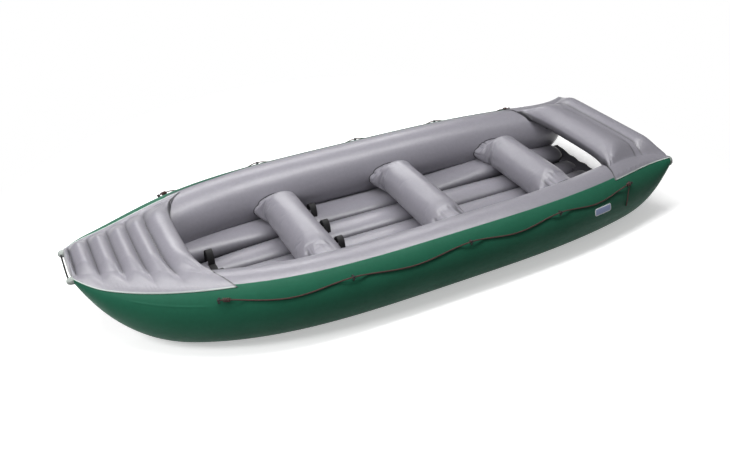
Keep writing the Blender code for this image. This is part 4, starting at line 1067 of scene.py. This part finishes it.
deckForm = {
    "crownAngle": math.radians(97.5), "contactAngle": math.radians(127.5), "sweepPower": 4,
    "panelPoints": 30, "tubePoints": 26, "rimShare": 0.15, "puckerAt": 0.74, "puckerWidth": 0.1,
    "drift": 9, "driftScale": 13, "sidesApart": 3, "paleFull": 0.4, "fullFrom": 0.99,
    "shadeFlat": 24, "shadeEnd": 36,  # a groove's shade fades between these points from the middle
}


def cornerPleat(x, share, side, look):
    # Small folds that fan out from where the panel's inner corner is drawn down onto the tube
    reachX, reachShare = look["cornerReach"]
    aft, up = (x - look["cornerX"]) / reachX, (share - look["cornerShare"]) / reachShare
    distance = math.hypot(aft, up)
    if distance > 1:
        return 0
    fan = math.sin(look["cornerFolds"] * math.atan2(up, aft) + side)
    return fan * math.sin(math.pi * distance) * (1 - distance) * look["cornerMm"] / 1000


def deckHalf(x, side, skirt, sweep, flare, ground, swell, fullness, look):
    # One side of a deck's ring, as if to starboard: its upper and lower points, and how pale the upper ones are
    form = deckForm
    crownAngle, contactAngle = form["crownAngle"], form["contactAngle"]
    crownY = hullPoint(1, x, crownAngle, 0).y

    def onTube(angle, lift):
        place = x
        for _ in range(3):
            y = hullPoint(1, alongHull(place), angle, lift).y
            swept = sweep * min(y / crownY, 1) ** form["sweepPower"]
            place = x + swept + flare * ramp(angle, crownAngle, skirt)
        return hullPoint(1, alongHull(place), angle, lift)

    topLift = look["seat"] + look["fabric"]
    crown, contact = onTube(crownAngle, topLift), onTube(contactAngle, look["seat"])
    middle = crown.z - look["sag"] * look["rimLevel"]
    arc = (crownAngle - skirt) * section(alongHull(x))[2]
    fade = (look["fadeFrom"] * crownY, crownY + look["fadeTo"] * arc)  # the ribs sink evenly into the tube
    top, under, pale = [], [], []
    for share in spread(0, 1, form["panelPoints"]):
        window = 1 - ramp(share, look["plateau"], 1) ** 2
        height = crown.z + ground * window + swell * (1 - easeRamp(share * crownY, *fade))
        height += cornerPleat(x, share, side, look) * fullness
        height = middle + (height - middle) * (1 - (1 - fullness) * max(window, form["rimShare"]))
        top.append(Vector((x + (crown.x - x) * share ** form["sweepPower"], share * crown.y, height)))
        pale.append(0)
        height = contact.z + (crown.z - look["sag"] - contact.z) * (1 - share ** 2)
        height = middle + (height - middle) * (1 - (1 - fullness) * window)
        under.append(Vector((x + (contact.x - x) * share ** form["sweepPower"], share * contact.y, height)))
    drift = form["drift"] * noise.noise((x * form["driftScale"], side * form["sidesApart"], 0))
    wave = math.sin(math.tau * x / look["puckerPitch"] + drift)
    puckers = look["puckerMm"] / 1000 * (0.5 + 0.5 * wave) ** 2
    closing = fullness ** 2 if fullness < form["fullFrom"] else 1
    for share in spread(0, 1, form["tubePoints"])[1:]:
        over = swell * (1 - easeRamp(crownY + share * arc, *fade)) * closing
        bump = bellCurve(share, form["puckerAt"], form["puckerWidth"]) * puckers
        bump += cornerPleat(x, 1 + share, side, look) * fullness
        top.append(onTube(between(crownAngle, skirt, share), topLift + over + max(bump, 0)))
        pale.append(1 - easeRamp((1 - share) * arc, look["paleWidth"] * form["paleFull"], look["paleWidth"]))
        under.append(onTube(between(contactAngle, skirt, share), look["seat"]))
    return top, under, pale


def deckRing(x, skirts, *shape):
    # Over the deck from port to starboard, and back underneath
    halves = []
    for side, skirt in zip((-1, 1), skirts):
        flip = Matrix.Diagonal((1, side, 1))
        top, under, pale = deckHalf(x, side, skirt, *shape)
        halves.append(([flip @ p for p in top], [flip @ p for p in under], pale))
    (portTop, portUnder, portPale), (farTop, farUnder, farPale) = halves
    pale = portPale[:0:-1] + farPale
    return portTop[:0:-1] + farTop + (portUnder[:0:-1] + farUnder)[::-1], pale + pale[::-1]


def panelShares():
    # For each point of a deck ring: 1 along the middle of its upper half, and 0 where it lies on the tubes
    half = 2 * (deckForm["panelPoints"] + deckForm["tubePoints"] - 1) - 1
    shade = (deckForm["shadeFlat"], deckForm["shadeEnd"])
    return [1 - easeRamp(abs(place - (half - 1) / 2), *shade) for place in range(half)] + [0] * half


def finishDeck(name, node, rings, grooves):
    rings, pale = zip(*rings)
    shares = panelShares()
    shades = [[max(groove * share, atEdge) for share in shares] for groove, atEdge in grooves]
    deck = makeShell(name, rings, "paired", pale, shades)
    finishPiece(deck, greyCloth, node)


def makeBowDeck():
    d = bowDeck
    nose, inner = hull["bowTip"] - d["nose"], hull["bowTip"] + d["length"]
    firstGroove, lastGroove = nose + d["lip"], inner - d["lastRib"]
    pitch = (lastGroove - firstGroove) / (d["ribs"] - 1)
    shadeStart, shadeEnd = firstGroove - d["shadeBefore"], lastGroove + d["shadeAfter"]
    rings, grooves = [], []
    for x in spread(nose, inner, d["sections"]):
        fullness = 1
        if x <= firstGroove:
            share = (x - nose) / d["lip"]
            swell, fullness = math.sin(math.pi * share), rimFullness(share)
        elif x <= lastGroove:
            swell = abs(math.sin(math.pi * (x - firstGroove) / pitch)) ** d["ribPower"]
        else:
            share = (x - lastGroove) / d["lastRib"]
            swell = math.sin(math.pi * min(share, 0.5)) ** d["ribPower"]
            fullness = rimFullness(min(2 - 2 * share, 1))
        aft = ramp(x, hull["bowTip"], inner)
        skirt = between(d["noseAngle"], d["innerAngle"], aft)
        skirts = (skirt, skirt + between(*d["farSkirtUp"], aft))
        rings.append(deckRing(x, skirts, d["edgeSweep"] * aft ** 3, d["skirtFlare"] * aft ** 3,
                              d["aboveCrown"], d["ribHeight"] * swell, fullness, d))
        inGroove = (1 - swell) ** 3 * d["grooveShade"] if shadeStart < x < shadeEnd else 0
        grooves.append((inGroove, easeRamp(x, *(inner - reach for reach in d["edgeShade"]))))
    finishDeck("bowDeck", "bow_deck", rings, grooves)


def makeSternDeck():
    d = sternDeck
    outer = hull["sternTip"] + d["overhang"]
    inner, seamEnd = outer - d["length"], outer - d["seamFromEnd"]
    seamStart = seamEnd - d["seamWidth"]
    rings, grooves = [], []
    for x in spread(inner, outer, d["sections"]):
        inRoll = x <= seamStart or x >= seamEnd
        share = ramp(x, inner, seamStart) if x < seamEnd else ramp(x, outer, seamEnd)
        swell = (1 if share < 0.5 else math.sin(math.pi * share) ** d["rollPower"]) if inRoll else 0
        fullness = rimFullness(min(2 * share, 1)) if inRoll else 1
        forward = 1 - ramp(x, inner, hull["sternTip"])
        rings.append(deckRing(x, [d["skirtAngle"]] * 2, -d["edgeSweep"] * forward, -d["skirtFlare"] * forward,
                              d["panelRise"], d["rollHeight"] * swell, fullness, d))
        inSeam = max(bellCurve(x, seam, d["seamShadeWidth"]) for seam in (seamStart, seamEnd)) * d["seamShade"]
        grooves.append((inSeam, 1 - easeRamp(x, *(inner + reach for reach in d["edgeShade"]))))
    finishDeck("sternDeck", "stern_deck", rings, grooves)


makeBowDeck()
makeSternDeck()
print("stage 8: bow and stern decks")


# Webbing: line anchors, foot loops and their strap

webbing = {
    "anchorWeb": 0.014, "anchorThick": 0.0025, "anchorHalfBase": 0.0145, "anchorSeat": 0.0006,
    "anchorLeg": ((0.004, 0), (0, 0.0015), (-0.004, 0.007)),  # outwards and up from where it leaves the hull
    "anchorKnee": (0.001, 0.7),  # outwards from the arch, and a share of its height
    "loopWeb": 0.05, "loopThick": 0.004, "loopHalfSpan": 0.05, "loopHeight": 0.1, "lowLoopHeight": 0.085,
    "loopSink": 0.035, "bowLoopX": -1.32, "lowLoopX": -0.42, "bowLoopFromSeam": 0.0095,
    "arcPoints": 11, "loopPoints": 33, "strapPoints": 12, "strapGap": 0.0003, "strapLift": 0.0006,
}
quarterTape = ((1, 0.5), (0.94, 1), (0.5, 1), (0, 1))  # a quarter of a tape's rounded outline, in half widths
halfTape = quarterTape + tuple((-a, b) for a, b in quarterTape[-2::-1])
tapeOutline = tuple((-a, -b) for a, b in halfTape) + halfTape


def tapeAlong(name, points, across, width, thickness, node):
    # A woven tape along a path
    rings = []
    for centre, ahead in zip(points, headings(points)):
        out = ahead.cross(across).normalized()
        rings.append([centre + across * a * width / 2 + out * b * thickness / 2 for a, b in tapeOutline])
    finishPiece(makeShell(name, rings), wovenWebbing, node)


def archPath(leg, halfWide, base, high, count):
    # Up one leg, over the arch and down the other leg
    arch = [(halfWide * math.cos(t), base + high * math.sin(t)) for t in spread(0, math.pi, count)]
    return leg + arch + [(-a, b) for a, b in leg[::-1]]


def makeAnchors():
    w = webbing
    reach = line["radius"] + line["gap"] + w["anchorThick"] / 2
    foot = w["anchorThick"] / 2 + w["anchorSeat"]
    leg = [(w["anchorHalfBase"] + out, foot + up) for out, up in w["anchorLeg"]]
    leg.append((reach + w["anchorKnee"][0], line["rise"] * w["anchorKnee"][1]))
    outline = archPath(leg, reach, line["rise"], reach, w["arcPoints"])
    for name, side in sides.items():
        for number, x in enumerate(anchorXs(), 1):
            base = hullFrame(side, x, line["angle"])
            points = [base @ Vector((0, a, b)) for a, b in outline]
            across = (base.to_3x3() @ Vector((1, 0, 0))).normalized()
            tapeAlong(f"{name}Anchor{number}", points, across, w["anchorWeb"], w["anchorThick"],
                      f"{name}_line_anchor_{number}")


def makeLoop(name, middle, x, base, height, node):
    w = webbing
    half, high = w["loopHalfSpan"] - w["loopThick"] / 2, height - w["loopThick"] / 2
    leg = [(half, -w["loopSink"]), (half, -w["loopSink"] / 2)]
    points = [Vector((x, middle + a, base + b)) for a, b in archPath(leg, half, 0, high, w["loopPoints"])]
    tapeAlong(name, points, Vector((1, 0, 0)), w["loopWeb"], w["loopThick"], node)


def makeFootLoops():
    w = webbing
    for index in range(4):
        side, inner, outer = channelBounds(index, w["lowLoopX"])
        crest = channelCrest(index, w["lowLoopX"])
        if index in (0, 3):
            outer = innerWall(w["lowLoopX"], crest)
        makeLoop(f"footLoop{index + 1}", side * (inner + outer) / 2, w["lowLoopX"], crest, w["lowLoopHeight"],
                 f"foot_loop_{index + 1}")
    x = w["bowLoopX"]
    middle = channelBounds(1, x)[2] - w["loopHalfSpan"] - w["bowLoopFromSeam"]
    for index, (name, side) in enumerate(sides.items(), 1):
        makeLoop(f"{name}BowFootLoop", side * middle, x, channelCrest(index, x), w["loopHeight"],
                 f"{name}_bow_foot_loop")
    gap = middle - w["loopHalfSpan"] - w["strapGap"]
    height = channelCrest(1, x - w["loopWeb"] / 2) + w["strapLift"] + w["loopThick"] / 2
    points = [Vector((x, y, height)) for y in spread(gap, -gap, w["strapPoints"])]
    tapeAlong("bowFootStrap", points, Vector((1, 0, 0)), w["loopWeb"], w["loopThick"], "bow_foot_strap")


handle = {
    "radius": 0.006, "behindTip": 0.025, "socket": 0.012, "drop": 0.055, "straight": 0.012, "bend": 0.05,
    "points": 61, "sides": 20, "rib": 0.04,  # every other ring is this share thinner
}


def makeHandle():
    h = handle
    centre, height, _ = section(hull["bowTip"])
    tip = centre - hull["bowTipRadius"] + h["socket"]
    bendStart = centre - hull["bowTipRadius"] - h["straight"]
    points = []
    for y in spread(-tip, tip, h["points"]):
        fall = h["drop"] * easeRamp(abs(y), bendStart, bendStart - h["bend"])
        points.append(Vector((hull["bowTip"] - h["behindTip"], y, height - fall)))
    across = Vector((1, 0, 0))
    rings = []
    for step, (point, ahead) in enumerate(zip(points, headings(points))):
        up = ahead.cross(across).normalized()
        grip = h["radius"] * (1 - h["rib"] * (step % 2))
        rings.append([point + grip * (math.cos(t) * across + math.sin(t) * up) for t in turnsRound(h["sides"])])
    finishPiece(makeShell("bowHandleGrip", rings), wovenWebbing, "bow_handle", body="bow_handle")


label = {
    "x": 1.39, "length": 0.17, "halfHeight": 0.028, "thickness": 0.0015, "gap": 0.0005, "corner": 0.016,
    "angle": math.radians(18), "rows": 61, "points": 17, "borderRows": 3, "borderPoints": 2,
}


def makeLabel():
    radius = section(label["x"])[2]
    rings = []
    for along in spread(-1, 1, label["rows"]):
        into = ramp(label["length"] / 2 * (1 - abs(along)), label["corner"], 0)
        half = label["halfHeight"] - label["corner"] * (1 - math.sqrt(max(1 - into ** 2, 0)))
        x = label["x"] + label["length"] / 2 * along
        angles = [label["angle"] + half * up / radius for up in spread(-1, 1, label["points"])]
        under, over = ([hullPoint(-1, x, angle, lift) for angle in angles]
                       for lift in (label["gap"], label["gap"] + label["thickness"]))
        rings.append(over + under[::-1])
    patch = makeShell("blankLabelPatch", rings, "paired")
    finishPiece(patch, labelFilm, "label_patch")
    patch.data.materials.append(labelBorder)
    rows, edge = label["borderRows"], label["borderPoints"]
    for face in patch.data.polygons:
        row, place = divmod(min(face.vertices), 2 * label["points"])
        inMiddle = rows <= row < label["rows"] - rows - 1 and edge <= place < label["points"] - edge - 1
        face.material_index = 0 if inMiddle else 1


makeAnchors()
makeFootLoops()
makeHandle()
makeLabel()
print("stage 9: webbing, handle and label")


# Moulded parts kept from the frame

def paintKeptNodes():
    for node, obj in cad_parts.items():
        if obj.hide_render:
            continue
        material = mouldedRubber if node.endswith("end_cap") else mouldedNylon
        if not obj.material_slots:
            obj.data.materials.append(material)
        for place in obj.material_slots:
            place.link = "OBJECT"
            place.material = material


paintKeptNodes()
print("stage 10: moulded parts")

bpy.context.view_layer.update()
